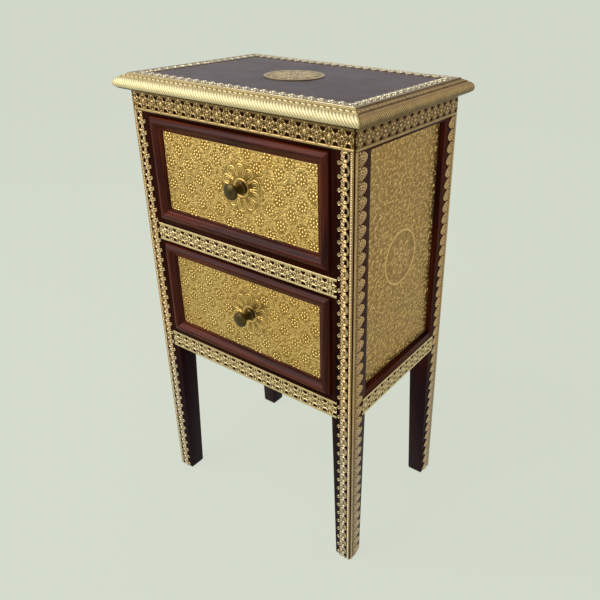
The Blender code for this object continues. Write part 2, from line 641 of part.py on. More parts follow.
def make_drawer(level, opening, finishes, cabinet):
    """A drawer box with a lapped front, a bottom in grooves, a moulded frame and a knob."""
    wood = finishes["wood"]
    plywood = finishes["plywood"]
    drawer = empty(f"{level}_drawer", cabinet, (0, -HALF_DEPTH, opening))
    half_front = DRAWER_FRONT_WIDTH / 2
    middle = OPENING_HEIGHT / 2
    front_back = FRONT_SET_BACK + FRONT_THICKNESS
    side_outer = half_front - DRAWER_SIDE_INSET
    side_inner = side_outer - DRAWER_SIDE_THICKNESS
    side_start = front_back - DRAWER_LAP + SEAT_GAP

    front = box(f"{level}_drawer_front", (-half_front, FRONT_SET_BACK, DRAWER_GAP),
                (half_front, front_back, OPENING_HEIGHT - DRAWER_GAP), wood, drawer)
    sides = []
    for side_name, side in SIDES:
        faces = sorted((side * side_outer, side * side_inner))
        low = (faces[0], side_start, SEAT_GAP)
        high = (faces[1], DRAWER_LENGTH, DRAWER_SIDE_HEIGHT)
        sides.append(box(f"{level}_drawer_{side_name}_side", low, high, plywood, drawer))
        lap = tool(box(f"{level}_{side_name}_lap", *grown(low, high, SEAT_GAP), wood, drawer))
        combine(front, lap, "DIFFERENCE")

    bottom_upper = DRAWER_BOTTOM_RISE + DRAWER_BOTTOM_THICKNESS
    groove = DRAWER_BOTTOM_GROOVE - SEAT_GAP
    low = (-side_inner - groove, front_back - groove, DRAWER_BOTTOM_RISE)
    high = (side_inner + groove, DRAWER_LENGTH, bottom_upper)
    box(f"{level}_drawer_bottom", low, high, plywood, drawer)
    low, high = grown(low, high, SEAT_GAP)
    slot = tool(box(f"{level}_bottom_slot", low, (high.x, high.y + DRAWER_BACK_THICKNESS, high.z),
                    wood, drawer))
    for part in (front, *sides):
        combine(part, slot, "DIFFERENCE")
    reach = side_inner - SEAT_GAP
    box(f"{level}_drawer_back", (-reach, DRAWER_LENGTH - DRAWER_BACK_THICKNESS, bottom_upper + SEAT_GAP),
        (reach, DRAWER_LENGTH, DRAWER_SIDE_HEIGHT - DRAWER_BACK_DROP), plywood, drawer)

    make_moulding(f"{level}_drawer_moulding", Vector((0, 0, middle)), wood, drawer)
    sheet_x = half_front - MOULDING_WIDTH - SEAT_GAP
    sheet_z = DRAWER_FRONT_HEIGHT / 2 - MOULDING_WIDTH - SEAT_GAP
    sheet = box(f"{level}_drawer_sheet", (-sheet_x, SHEET_FACE, middle - sheet_z),
                (sheet_x, FRONT_SET_BACK - SEAT_GAP, middle + sheet_z), finishes["brass"], drawer)

    knob_place = (KNOB_ASIDE, KNOB_SEAT, middle + KNOB_RAISED)
    add(f"{level}_drawer_knob", turned(knob_profile(), KNOB_FACETS, -BACKWARDS), finishes["bronze"],
        drawer, knob_place, smooth=True)
    shank = SCREW_DIAMETER / 2
    head = SCREW_HEAD_DIAMETER / 2
    back = front_back + SEAT_GAP - KNOB_SEAT
    profile = [(0, -SCREW_GRIP), (shank, -SCREW_GRIP), (shank, back), (head, back),
               (SCREW_CROWN_DIAMETER / 2, back + SCREW_CROWN_RISE), (0, back + SCREW_HEAD_HEIGHT)]
    add(f"{level}_drawer_knob_screw", turned(profile, SCREW_FACETS, BACKWARDS), finishes["steel"],
        drawer, knob_place, smooth=True)
    bore = shank + SEAT_GAP
    profile = [(0, -SCREW_GRIP), (bore, -SCREW_GRIP), (bore, back), (0, back)]
    hole = tool(add(f"{level}_knob_hole", turned(profile, SCREW_FACETS, BACKWARDS), wood, drawer,
                    knob_place))
    for part in (front, sheet):
        combine(part, hole, "DIFFERENCE")


def main():
    clear_scene()
    finishes = make_finishes()
    cabinet = empty("cabinet", None, (0, CABINET_SHIFT, 0))
    make_carcass(finishes, cabinet)
    make_runners(finishes, cabinet)
    make_top(finishes, cabinet)
    make_friezes(finishes, cabinet)
    make_post_strips(finishes, cabinet)
    make_side_sheets(finishes, cabinet)
    make_drawer("upper", UPPER_OPENING, finishes, cabinet)
    make_drawer("lower", BOTTOM_RAIL_TOP, finishes, cabinet)


main()
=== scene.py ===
"""Dresses a two-drawer bedside cabinet: polished dark wood clad in embossed and pierced brass.

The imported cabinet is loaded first, and each piece takes its place and size from its nodes, in metres.
Ornament is drawn in millimetres: u runs along a sheet of brass, v runs up it, and its height stands off
the wood. The front faces -Y and +X is the right-hand side of someone who faces it.
"""
import math
from functools import cache, reduce
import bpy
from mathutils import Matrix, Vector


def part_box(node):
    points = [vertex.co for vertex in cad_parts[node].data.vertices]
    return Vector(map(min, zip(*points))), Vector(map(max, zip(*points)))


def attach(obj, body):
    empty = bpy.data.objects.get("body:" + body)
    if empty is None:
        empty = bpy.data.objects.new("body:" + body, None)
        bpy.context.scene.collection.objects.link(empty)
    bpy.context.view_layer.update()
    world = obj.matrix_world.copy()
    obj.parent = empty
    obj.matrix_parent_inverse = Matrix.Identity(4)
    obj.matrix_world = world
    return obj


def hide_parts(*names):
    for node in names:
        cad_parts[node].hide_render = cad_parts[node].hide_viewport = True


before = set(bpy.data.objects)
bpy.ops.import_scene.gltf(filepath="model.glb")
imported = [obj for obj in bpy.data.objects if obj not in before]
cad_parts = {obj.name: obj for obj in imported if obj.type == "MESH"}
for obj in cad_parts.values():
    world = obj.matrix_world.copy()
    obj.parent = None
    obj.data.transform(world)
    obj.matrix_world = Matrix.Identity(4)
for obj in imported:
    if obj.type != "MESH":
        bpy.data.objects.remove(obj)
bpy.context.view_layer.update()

from types import SimpleNamespace as Sizes

import bmesh
import bpy
import numpy as np
from bpy.props import FloatProperty, FloatVectorProperty, PointerProperty
from mathutils import Matrix, Vector

bl_info = {
    "name": "Brass-clad bedside cabinet",
    "version": (1, 0, 0),
    "blender": (4, 5, 0),
    "location": "View3D > Sidebar > Cabinet",
    "description": "Builds the wood, the brass and the stage of a two-drawer bedside cabinet",
    "category": "Object",
}

MM = 0.001
SEAT_GAP = 0.3 * MM
LEVELS = ("upper", "lower")
SIDES = (("left", -1), ("right", 1))
ENDS = (("front", -1), ("back", 1))
ACROSS = Vector((1, 0, 0))
BACKWARDS = Vector((0, 1, 0))
UPWARDS = Vector((0, 0, 1))


# Settings that a user would change
def colour(name, description, default):
    return FloatVectorProperty(name=name, description=description, default=default, subtype="COLOR",
                               size=3, min=0.0, max=1.0)


def length(name, description, millimetres):
    return FloatProperty(name=name, description=description, default=millimetres * MM, unit="LENGTH",
                         precision=5)


def angle(name, description, degrees):
    return FloatProperty(name=name, description=description, default=math.radians(degrees), subtype="ANGLE")


def power(name, description, watts):
    return FloatProperty(name=name, description=description, default=watts, unit="POWER")


class CabinetFinishes(bpy.types.PropertyGroup):
    """Colours of the wood and the metal."""
    wood_dark: colour("Dark wood", "Darker streaks of the stained wood", (0.011, 0.0022, 0.0012))
    wood_red: colour("Red wood", "Lighter streaks of the stained wood", (0.080, 0.0135, 0.0042))
    bare_wood: colour("Bare wood", "Unpolished wood inside the drawers", (0.30, 0.185, 0.095))
    bare_wood_dark: colour("Bare wood grain", "Grain of the unpolished wood", (0.16, 0.088, 0.040))
    sheet: colour("Sheet brass", "Rubbed brass of the drawer sheets", (0.97, 0.68, 0.245))
    sheet_recess: colour("Sheet recess", "Tarnish in the hollows of the drawer sheets", (0.22, 0.113, 0.010))
    # Side brass is a darker copy of the sheet brass, painted shade on the sides.
    side: colour("Side brass", "Rubbed brass of the side sheets", (0.86, 0.57, 0.225))
    side_recess: colour("Side recess", "Tarnish in the hollows of the side sheets", (0.225, 0.115, 0.021))
    strip: colour("Strip brass", "Rubbed brass of the friezes", (0.84, 0.66, 0.35))
    strip_recess: colour("Strip recess", "Tarnish in the hollows of the friezes", (0.18, 0.106, 0.032))
    scroll: colour("Scroll brass", "Rubbed brass of the scroll strips", (0.57, 0.415, 0.21))
    scroll_recess: colour("Scroll recess", "Tarnish in the hollows of the scroll strips", (0.30, 0.18, 0.06))
    # Overhang shade brass is the frieze brass darkened as painted shade under the overhang of the top; its
    # recess colour is tarnish in the hollows.
    dull: colour("Dull brass", "Less rubbed brass under the top", (0.60, 0.42, 0.19))
    dull_recess: colour("Dull recess", "Tarnish in the hollows of the dull strips", (0.11, 0.058, 0.011))
    shaded: colour("Shaded brass", "Brass of the friezes and leaves on the sides", (0.74, 0.485, 0.225))
    shaded_recess: colour("Shaded recess", "Tarnish in the hollows of the side strips", (0.10, 0.053, 0.011))
    # Edge brass is paler than the brass of the other edges: a painted highlight of the key light on the front
    # roll.
    edge: colour("Edge brass", "Bright rolled brass of the top's front edge", (0.82, 0.72, 0.43))
    edge_recess: colour("Edge recess", "Shade in the flutes of the front edge", (0.34, 0.255, 0.10))
    # Side edge brass is darker than the front edge brass: painted shade on the other edges of the top.
    side_edge: colour("Side edge brass", "Duller rolled brass of the top's other edges", (0.80, 0.54, 0.235))
    side_edge_recess: colour("Side edge recess", "Shade in the flutes of the other edges",
                             (0.085, 0.048, 0.014))
    lace: colour("Lace brass", "Pale brass of the border on the top", (0.82, 0.71, 0.48))
    lace_recess: colour("Lace recess", "Tarnish in the hollows of the border", (0.27, 0.195, 0.088))
    bronze: colour("Bronze", "Worn bronze of the knobs", (0.115, 0.083, 0.024))
    bronze_dark: colour("Dark bronze", "Aged bronze of the knobs", (0.058, 0.041, 0.021))
    steel: colour("Steel", "Screw steel", (0.42, 0.41, 0.39))


class CabinetOrnament(bpy.types.PropertyGroup):
    """Sizes of the brass ornament."""
    scroll_pitch: length("Scroll repeat", "Height of one scroll on the front posts", 16.58)
    leaf_pitch: length("Leaf repeat", "Height of one leaf on the sides of the posts", 18.3)
    flower_pitch: length("Flower spacing", "Half the gap between flowers in a row", 18.15)
    row_pitch: length("Row spacing", "Gap between rows of flowers", 17.4)
    flute_pitch: length("Flute spacing", "Width of one slanting flute of the top's front edge", 4.75)
    lace_pitch: length("Lace repeat", "Length of one scallop of the top's border", 14.6)
    sheet_grid: length("Sheet grid", "Mesh size of the drawer sheets", 0.58)
    side_grid: length("Side grid", "Mesh size of the side sheets", 0.92)
    strip_grid: length("Strip grid", "Mesh size of the friezes", 0.62)
    fine_grid: length("Fine grid", "Mesh size of the scroll strips", 0.50)


class CabinetStage(bpy.types.PropertyGroup):
    """Camera, lights and floor."""
    camera_place: FloatVectorProperty(name="Camera place", description="Where the camera stands",
                                      default=(0.57890, -0.69957, 0.84533), subtype="TRANSLATION",
                                      unit="LENGTH", size=3)
    azimuth: angle("Azimuth", "Turn of the camera to the right of the front", 33.612)
    elevation: angle("Elevation", "Slope of the view down from level", 25.821)
    roll: angle("Roll", "Tilt of the camera about its view", 0.965)
    lens: FloatProperty(name="Lens", description="Focal length for a 36 mm sensor", default=37.98)
    shift: FloatVectorProperty(name="Shift", description="Shift of the lens in picture widths",
                               default=(-0.0976, -0.0534), size=2, precision=4)
    floor_colour: colour("Floor", "Pale floor and surround", (0.665, 0.716, 0.617))
    sky: FloatProperty(name="Sky", description="Strength of the even light all round", default=0.50)
    key: power("Key light", "Power of the soft light at the front left", 43.0)
    back: power("Back light", "Power of the soft light behind the left corner", 3.0)
    fill: power("Fill light", "Power of the soft light at the right", 2.0)


# Shader nodes
class Value:
    """A number that a node gives, so that shader maths is written as plain sums."""

    def __init__(self, finish, socket):
        self.finish = finish
        self.socket = socket

    def __add__(self, other):
        return self.finish.maths("ADD", self, other)

    def __sub__(self, other):
        return self.finish.maths("SUBTRACT", self, other)

    def __rsub__(self, other):
        return self.finish.maths("SUBTRACT", other, self)

    def __mul__(self, other):
        return self.finish.maths("MULTIPLY", self, other)

    __radd__ = __add__
    __rmul__ = __mul__

    def between(self, low, high):
        """0 below low, 1 above high and a smooth step between them."""
        return self.finish.value("ShaderNodeMapRange", {"interpolation_type": "SMOOTHSTEP"},
                                 {"Value": self, "From Min": low, "From Max": high})


class Finish:
    """A material whose Principled shader takes fixed values by socket name."""

    def __init__(self, name, fixed):
        self.material = bpy.data.materials.new(name)
        self.material.use_nodes = True
        self.tree = self.material.node_tree
        self.shader = self.tree.nodes["Principled BSDF"]
        self.feed(self.shader, fixed)

    def node(self, kind, settings=None, inputs=None):
        node = self.tree.nodes.new(kind)
        for name, setting in (settings or {}).items():
            setattr(node, name, setting)
        self.feed(node, inputs or {})
        return node

    def feed(self, node, inputs):
        for name, given in inputs.items():
            if isinstance(given, Value):
                given = given.socket
            if isinstance(given, bpy.types.NodeSocket):
                self.tree.links.new(given, node.inputs[name])
            else:
                node.inputs[name].default_value = given

    def value(self, kind, settings=None, inputs=None, output=0):
        return Value(self, self.node(kind, settings, inputs).outputs[output])

    def maths(self, operation, first, second):
        return self.value("ShaderNodeMath", {"operation": operation}, {0: first, 1: second})

    def mix(self, share, first, second):
        """One colour turning into another. The two are sockets or plain colours."""
        ends = [end if isinstance(end, bpy.types.NodeSocket) else (*end, 1.0) for end in (first, second)]
        node = self.node("ShaderNodeMix", {"data_type": "RGBA"}, {0: share, 6: ends[0], 7: ends[1]})
        return node.outputs[2]

    def where(self):
        return self.node("ShaderNodeTexCoord").outputs["Object"]

    def on_legs(self):
        """1 on the legs and 0 on the carcass above them."""
        height = self.value("ShaderNodeSeparateXYZ", None, {"Vector": self.where()}, "Z")
        return 1 - height.between(*LEG_TOPS)

    def noise(self, scale, detail=3.0, roughness=0.5, distortion=0.0):
        """Noise with one scale, or with a scale for each axis."""
        scale = scale if isinstance(scale, list) else [scale] * 3
        place = self.node("ShaderNodeMapping", None, {"Vector": self.where(), "Scale": scale})
        return self.value("ShaderNodeTexNoise", None,
                          {"Vector": place.outputs[0], "Scale": 1.0, "Detail": detail,
                           "Roughness": roughness, "Distortion": distortion})

    def bump(self, height, strength, distance):
        node = self.node("ShaderNodeBump", None,
                         {"Height": height, "Strength": strength, "Distance": distance * MM})
        self.feed(self.shader, {"Normal": node.outputs[0]})


# Finishes. Wood and brass change their tone between the heights in LEG_TOPS: the wood is darker on the legs,
# and the brass on the posts is paler and bluer towards the floor as a painted reflection of the floor
LEG_TOPS = (0.17, 0.33)
LEG_WOOD = (0.014, 0.0052, 0.0095)
FLOOR_REFLECTION_TINT = (0.94, 1.08, 1.44)
WARM_TINT = (1.0, 0.88, 0.66)
PURPLE_SHEEN = (0.88, 0.50, 0.60)
RED_SHEEN = (0.9, 0.5, 0.35)
# Polished woods as name, depth of colour, gloss and weight of the coat. Depth paints light and shade onto
# copies of one wood: the fronts (wood) are darkened as painted shade, the side faces (side) are lightened as
# painted light, and the mouldings (moulding) are lighter than the fronts
WOODS = {"wood": ("stained_wood", 0.45, 0.035, 0.0),
         "side": ("side_wood", 1.3, 0.06, 0.0),
         "moulding": ("moulding_wood", 1.4, 0.06, 0.16)}
# Brasses as name, patina, roughness, share of warm clouds, and whether they run down the posts, which gives
# them a painted reflection of the floor
BRASSES = {"sheet": ("embossed_sheet_brass", 0.25, 0.38, 0.45, False),
           "side": ("shaded_sheet_brass", 0.25, 0.38, 0.4, False),
           "strip": ("pierced_strip_brass", 0.3, 0.38, 0.0, False),
           "scroll": ("scroll_strip_brass", 0.3, 0.38, 0.0, True),
           "dull": ("dull_strip_brass", 0.3, 0.38, 0.0, False),
           "shaded": ("shaded_strip_brass", 0.3, 0.38, 0.0, True),
           "edge": ("rolled_edge_brass", 0.3, 0.66, 0.0, False),
           "side_edge": ("dull_edge_brass", 0.3, 0.50, 0.0, False),
           "lace": ("lace_border_brass", 0.3, 0.38, 0.0, False)}


def along_grain(axis, across, along):
    """Noise scales that stretch a pattern along one axis."""
    return [along if index == axis else across for index in range(3)]


def tinted(tone, tint):
    """A colour times a tint, or times one number."""
    return [part * share for part, share in zip(tone, np.broadcast_to(tint, 3))]


def polished_wood(name, axis, finishes, depth, gloss, polish, sheen):
    """Dark stained wood with its grain along one axis, darker still on the legs.

    Depth scales its colour, which paints light and shade onto copies of one wood, polish is the weight of a
    coat and sheen the tint of the gloss.
    """
    finish = Finish(name, {"Coat Weight": polish, "Coat Roughness": 0.14, "Coat IOR": 1.5,
                           "Specular IOR Level": gloss, "Specular Tint": (*sheen, 1.0)})
    dark = tinted(finishes.wood_dark, depth)
    figure = finish.noise(along_grain(axis, 70, 5), 5.0, 0.62, 0.9)
    streak = finish.noise(along_grain(axis, 240, 6), 3.0, 0.55, 0.2)
    pores = finish.noise(along_grain(axis, 1500, 45), 2.0, 0.5)
    handled = finish.noise(26, 4.0, 0.6)
    warm = (figure * 0.75 + streak * 0.35).between(0.36, 0.74)
    body = finish.mix(warm, dark, tinted(finishes.wood_red, depth))
    if axis == 2:
        body = finish.mix(finish.on_legs() * 0.8, body, LEG_WOOD)
    open_pores = pores.between(0.58, 0.72)
    finish.feed(finish.shader, {"Base Color": finish.mix(open_pores * 0.6, body, tinted(dark, 0.4)),
                                "Roughness": 0.30 + handled * 0.16 + open_pores * 0.12})
    finish.bump(streak * 0.4 + (1 - open_pores) * 0.6, 0.22, 0.25)
    return finish.material


def bare_wood(name, axis, finishes):
    """Plain unpolished wood inside the carcass and the drawers."""
    finish = Finish(name, {"Specular IOR Level": 0.3})
    figure = finish.noise(along_grain(axis, 55, 4), 5.0, 0.6, 1.1)
    fibre = finish.noise(along_grain(axis, 900, 20), 2.0, 0.5)
    grain = (figure * 0.8 + fibre * 0.3).between(0.35, 0.78)
    finish.feed(finish.shader, {"Base Color": finish.mix(grain, finishes.bare_wood, finishes.bare_wood_dark),
                                "Roughness": 0.62 + fibre * 0.2})
    finish.bump(fibre, 0.25, 0.2)
    return finish.material


def worked_brass(name, bright, recess, patina, rough, warmth, on_posts):
    """Brass sheet, rubbed bright on its raised parts and tarnished in its hollows.

    It is warmer in wide clouds, and on the posts it is paler and bluer towards the floor, a painted
    reflection of the floor.
    """
    finish = Finish(name, {"Metallic": 1.0})
    rubbed = bright
    if warmth:
        clouds = finish.noise(8, 2.0, 0.5).between(0.38, 0.62)
        rubbed = finish.mix(clouds * warmth, rubbed, tinted(bright, WARM_TINT))
    # On the posts the brass grows paler and bluer towards the floor: a painted reflection of the floor.
    if on_posts:
        rubbed = finish.mix(finish.on_legs(), rubbed, tinted(bright, FLOOR_REFLECTION_TINT))
    relief = finish.value("ShaderNodeAttribute", {"attribute_name": "relief"}, None, "Fac")
    cloud = finish.noise(38, 4.0, 0.6)
    speck = finish.noise(420, 2.0, 0.5)
    fine = finish.noise(1900, 2.0, 0.5)
    worn = (relief + (cloud - 0.5) * patina + (speck - 0.5) * 0.25 + 0.28).between(0.0, 1.0)
    finish.feed(finish.shader, {"Base Color": finish.mix(worn, recess, rubbed),
                                "Roughness": rough - worn * 0.10 + cloud * 0.06})
    finish.bump(speck * 0.7 + fine * 0.3, 0.18, 0.16)
    return finish.material


def aged_bronze(finishes):
    """Dark pitted bronze, rubbed lighter in patches."""
    finish = Finish("aged_bronze", {"Metallic": 1.0})
    cloud = finish.noise(150, 4.0, 0.65)
    pitted = finish.noise(900, 3.0, 0.6)
    rubbed = cloud.between(0.30, 0.66)
    finish.feed(finish.shader, {"Base Color": finish.mix(rubbed, finishes.bronze_dark, finishes.bronze),
                                "Roughness": 0.28 + cloud * 0.14})
    finish.bump(pitted, 0.12, 0.15)
    return finish.material


def screw_steel(finishes):
    """Plain steel, darker in patches."""
    finish = Finish("screw_steel", {"Metallic": 1.0})
    cloud = finish.noise(300, 3.0, 0.6)
    finish.feed(finish.shader, {"Base Color": finish.mix(cloud.between(0.35, 0.7), finishes.steel,
                                                         tinted(finishes.steel, 0.5)),
                                "Roughness": 0.3 + cloud * 0.25})
    return finish.material


@cache
def all_finishes():
    """Every finish of the cabinet by name. The last letter of a wood is the axis of its grain."""
    finishes = bpy.context.scene.cabinet_finishes
    made = {"wood_top": polished_wood("polished_top_wood", 0, finishes, 0.7, 0.10, 0.155, RED_SHEEN),
            "bronze": aged_bronze(finishes), "steel": screw_steel(finishes)}
    for axis, letter in enumerate("xyz"):
        made[f"bare_{letter}"] = bare_wood(f"bare_wood_{letter}", axis, finishes)
        for key, (name, *looks) in WOODS.items():
            made[f"{key}_{letter}"] = polished_wood(f"{name}_{letter}", axis, finishes, *looks, PURPLE_SHEEN)
    for key, (name, *looks) in BRASSES.items():
        made[key] = worked_brass(name, getattr(finishes, key), getattr(finishes, f"{key}_recess"), *looks)
    return made


# Pieces
def add_piece(name, bm, finishes, body, node, smooth_up_to=40):
    """Turn a bmesh into a piece that rides on a body and stands for a node."""
    mesh = bpy.data.meshes.new(name)
    bm.to_mesh(mesh)
    bm.free()
    for finish in finishes:
        mesh.materials.append(all_finishes()[finish])
    mesh.shade_smooth()
    mesh.set_sharp_from_angle(angle=math.radians(smooth_up_to))
    piece = bpy.data.objects.new(name, mesh)
    bpy.context.scene.collection.objects.link(piece)
    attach(piece, body)
    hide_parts(node)


def dress(node, finish):
    """Give a node of the frame a finish, and leave its shape alone."""
    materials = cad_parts[node].data.materials
    materials.clear()
    materials.append(all_finishes()[finish])


def corners(node):
    """Lowest and highest corner of a node."""
    low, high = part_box(node)
    return Vector(low), Vector(high)


def block(low, high):
    bm = bmesh.new()
    bmesh.ops.create_cube(bm, size=1.0)
    bmesh.ops.scale(bm, vec=high - low, verts=bm.verts[:])
    bmesh.ops.translate(bm, vec=(high + low) / 2, verts=bm.verts[:])
    return bm


def face_outwards(bm):
    bmesh.ops.recalc_face_normals(bm, faces=bm.faces[:])


def soften(bm, edges, radius):
    """Round some edges of a bmesh a little."""
    bmesh.ops.bevel(bm, geom=edges, offset=radius, segments=2, profile=0.5, affect="EDGES", material=-1)
    face_outwards(bm)


def of_kind(items, kind):
    return [item for item in items if isinstance(item, kind)]


# Lines and beads of the ornament. The hidden height is below any ground
HIDDEN = -1.0


def dome(distance, half):
    """Height of a round-topped line: 1 on the line, 0 from its half width on."""
    return np.sqrt(np.clip(1 - (distance / half) ** 2, 0, 1))


def raised(distance, half, height):
    """A round-topped line of a half width and a height, and well below the ground beside it."""
    return np.where(distance ** 2 < half ** 2, height * dome(distance, half), HIDDEN)


def to_point(u, v, point):
    return np.hypot(u - point[0], v - point[1])


def to_segment(u, v, start, end):
    """Distance to a straight line between two points."""
    run = (end[0] - start[0], end[1] - start[1])
    share = ((u - start[0]) * run[0] + (v - start[1]) * run[1]) / (run[0] ** 2 + run[1] ** 2)
    share = np.clip(share, 0, 1)
    return np.hypot(u - start[0] - share * run[0], v - start[1] - share * run[1])


def to_arc(u, v, centre, radius, first, last):
    """Distance to an arc that runs the counterclockwise way between two angles in degrees."""
    middle = math.radians((first + last) / 2)
    half = math.radians((last - first) / 2)
    turn = np.arctan2(v - centre[1], u - centre[0]) - middle
    turn = (turn + math.pi) % math.tau - math.pi
    tips = [(centre[0] + radius * math.cos(end), centre[1] + radius * math.sin(end))
            for end in (middle - half, middle + half)]
    at_tips = np.minimum(to_point(u, v, tips[0]), to_point(u, v, tips[1]))
    return np.where(np.abs(turn) <= half, np.abs(to_point(u, v, centre) - radius), at_tips)


def in_petal(u, v, petals, first=0.0):
    """Distance out along the nearest of a ring of petals, and distance to its side."""
    step = math.tau / petals
    turn = (np.arctan2(v, u) - first + step / 2) % step - step / 2
    from_middle = np.hypot(u, v)
    return from_middle * np.cos(turn), from_middle * np.sin(turn)


def highest(*heights):
    return reduce(np.maximum, heights)


def nearest(*distances):
    return reduce(np.minimum, distances)


def repeat(place, pitch):
    """Place from the middle of the nearest repeat."""
    return (place + pitch / 2) % pitch - pitch / 2


def hammered(u, v):
    """A slight unevenness of hand-worked sheet, between -1 and 1."""
    long_waves = np.sin(u / 3.1 + 1.3 * np.sin(v / 4.7)) * np.sin(v / 3.7 + 0.9 * np.sin(u / 5.3))
    short_waves = np.sin((u + v) / 1.9) * np.sin((u - 1.7 * v) / 2.3)
    return (long_waves + 0.6 * short_waves) / 1.6


# Brass sheets. Relief of the full-wear height is rubbed bright, and a rim is drawn in by short steps
FULL_WEAR = 0.9
RIM_STEPS = 3
RIM_NUDGE = 0.02
RIM_SHIFT = 0.4
RIM_STEEP = 0.25
SAME_PLACE = 1e-7
MERGE = 1e-6


def trim(bm, reach, cut):
    """Remove the faces where cut is above zero and draw the rim onto its zero line."""
    centres = np.array([face.calc_center_median()[:2] for face in bm.faces]) / MM
    gone = cut(*centres.T) > 0
    bmesh.ops.delete(bm, geom=[face for face, out in zip(bm.faces[:], gone) if out], context="FACES")
    rim = [vert for vert in bm.verts if vert.is_boundary
           and all(abs(vert.co[axis]) < reach[axis] * MM - SAME_PLACE for axis in (0, 1))]
    if not rim:
        return
    flat = np.array([vert.co[:2] for vert in rim]) / MM
    for _ in range(RIM_STEPS):
        u, v = flat.T
        slope = np.stack([cut(u + RIM_NUDGE, v) - cut(u - RIM_NUDGE, v),
                          cut(u, v + RIM_NUDGE) - cut(u, v - RIM_NUDGE)], 1) / (2 * RIM_NUDGE)
        steep = np.maximum((slope ** 2).sum(1), RIM_STEEP)
        flat = flat - np.clip(cut(u, v) / steep, -RIM_SHIFT, RIM_SHIFT)[:, None] * slope
    for vert, point in zip(rim, flat * MM):
        vert.co.xy = point


def brass_sheet(reach, grid, relief, place, cut=None, depth=0.6, bent=False):
    """A closed sheet over u and v from -reach to reach, raised by relief and trimmed by cut.

    relief gives heights for arrays of u and v, and cut is above zero where there is no metal. place
    turns u, v and height into points. A flat sheet gets a plain back, and a bent one a second skin.
    """
    bm = bmesh.new()
    segments = [max(1, round(2 * half / step)) for half, step in zip(reach, grid)]
    bmesh.ops.create_grid(bm, x_segments=segments[0], y_segments=segments[1], size=1.0)
    bmesh.ops.scale(bm, vec=(reach[0] * MM, reach[1] * MM, 1), verts=bm.verts[:])
    if cut:
        trim(bm, reach, cut)
    worn = bm.verts.layers.float.new("relief")
    if bent:
        made = bmesh.ops.extrude_face_region(bm, geom=bm.faces[:])["geom"]
    front = bm.verts[:]
    flat = np.array([vert.co[:2] for vert in front]) / MM
    for vert, height in zip(front, relief(*flat.T)):
        vert.co.z = height * MM
        vert[worn] = height / FULL_WEAR
    if bent:
        behind = set(front) - set(of_kind(made, bmesh.types.BMVert))
    else:
        rim = [edge for edge in bm.edges if edge.is_boundary]
        made = bmesh.ops.extrude_edge_only(bm, edges=rim)["geom"]
        behind = of_kind(made, bmesh.types.BMVert)
    for vert in behind:
        vert.co.z = -depth * MM
    if not bent:
        bmesh.ops.triangle_fill(bm, use_beauty=False, edges=of_kind(made, bmesh.types.BMEdge),
                                normal=(0, 0, -1))
    flat = np.array([vert.co[:] for vert in bm.verts]) / MM
    for vert, point in zip(bm.verts, place(*flat.T)):
        vert.co = point
    face_outwards(bm)
    return bm


def seat(node, outward):
    """Half sizes of a flat node and a function that places u, v and height on its outer face."""
    low, high = corners(node)
    size = high - low
    across = ACROSS if outward.z else UPWARDS.cross(outward)
    axes = (across, outward.cross(across), outward)
    face = (low + high) / 2 + outward * abs(size.dot(outward)) / 2

    def place(u, v, height):
        return np.array(face) + np.stack([u, v, height], 1) @ np.array(axes) * MM

    return [abs(size.dot(axis)) / 2 / MM for axis in axes[:2]], place


def add_sheet(name, node, outward, finish, grid, kind, *shape, body="cabinet"):
    """Add the brass of a flat node. kind draws its relief and openings from its half sizes and a shape."""
    reach, place = seat(node, outward)
    drawn = kind(reach, *shape)
    bm = brass_sheet(reach, (grid / MM, grid / MM), drawn.relief, place, drawn.cut)
    add_piece(f"{name}_{node}", bm, [finish], body, node)


# Pierced friezes as outward way, finish, repeat, place of one opening, and which rosettes have a ball
# Under the top, the front frieze takes the overhang shade brass and the side friezes the shaded brass, both
# painted shade.
FRIEZES = {"front_top_strip": (-BACKWARDS, "dull", 17.80, 3.3, 2),
           "front_mid_strip": (-BACKWARDS, "strip", 17.45, 6.75, 2),
           "front_bottom_strip": (-BACKWARDS, "strip", 17.55, 4.55, 2),
           "left_top_strip": (-ACROSS, "shaded", 17.85, 3.4, 1),
           "left_bottom_strip": (-ACROSS, "strip", 17.6, -2.0, 2),
           "right_top_strip": (ACROSS, "shaded", 17.85, -3.4, 1),
           "right_bottom_strip": (ACROSS, "strip", 17.6, 2.0, 2)}
# In this and the next tables, a pair is the half width and the height of a ridge or a bead
FRIEZE = Sizes(edge=4.3, height=4.4, half_base=3.8, round=1.45, band=1.75, ground=-0.16, uneven=0.06,
               rosette=2.4, rosette_ridge=(0.95, 0.85), ball=(2.1, 1.25), pit=0.9, pit_depth=0.25,
               loop_place=4.5, loop=1.15, loop_ridge=(0.7, 0.75), loop_pit=0.6, inner_leaf=(1.0, 0.95),
               outer_leaf=(0.85, 0.8), pin_spacing=47.0, pin_in=1.9, pin=(0.95, 0.75),
               inner_line=((0.3, 1.0), (3.5, 0.1)), outer_line=((5.0, 0.6), (4.3, 2.8)))
SIDE_FRIEZE = Sizes(ground=-0.04, ball=(2.15, 1.4), bead_place=(1.2, 1.8), bead=(0.9, 0.9))
# Beads beside each rosette as across, towards the edge, radius and height
FRIEZE_BEADS = ((5.1, 0.0, 1.05, 0.9), (3.5, 3.6, 1.05, 0.9), (0.0, 4.6, 1.05, 0.9), (6.6, 2.4, 1.05, 0.9))
SIDE_BEADS = ((2.6, 5.0, 1.35, 1.15), (0.0, 7.4, 1.0, 0.7))
# Crowns of the edge bands. The low crown under the top leaves its upper band in the dark recess colour,
# painted shade under the overhang.
BAND_CROWNS = {"front": 0.5, "side": 0.2, "under_top": 0.06}


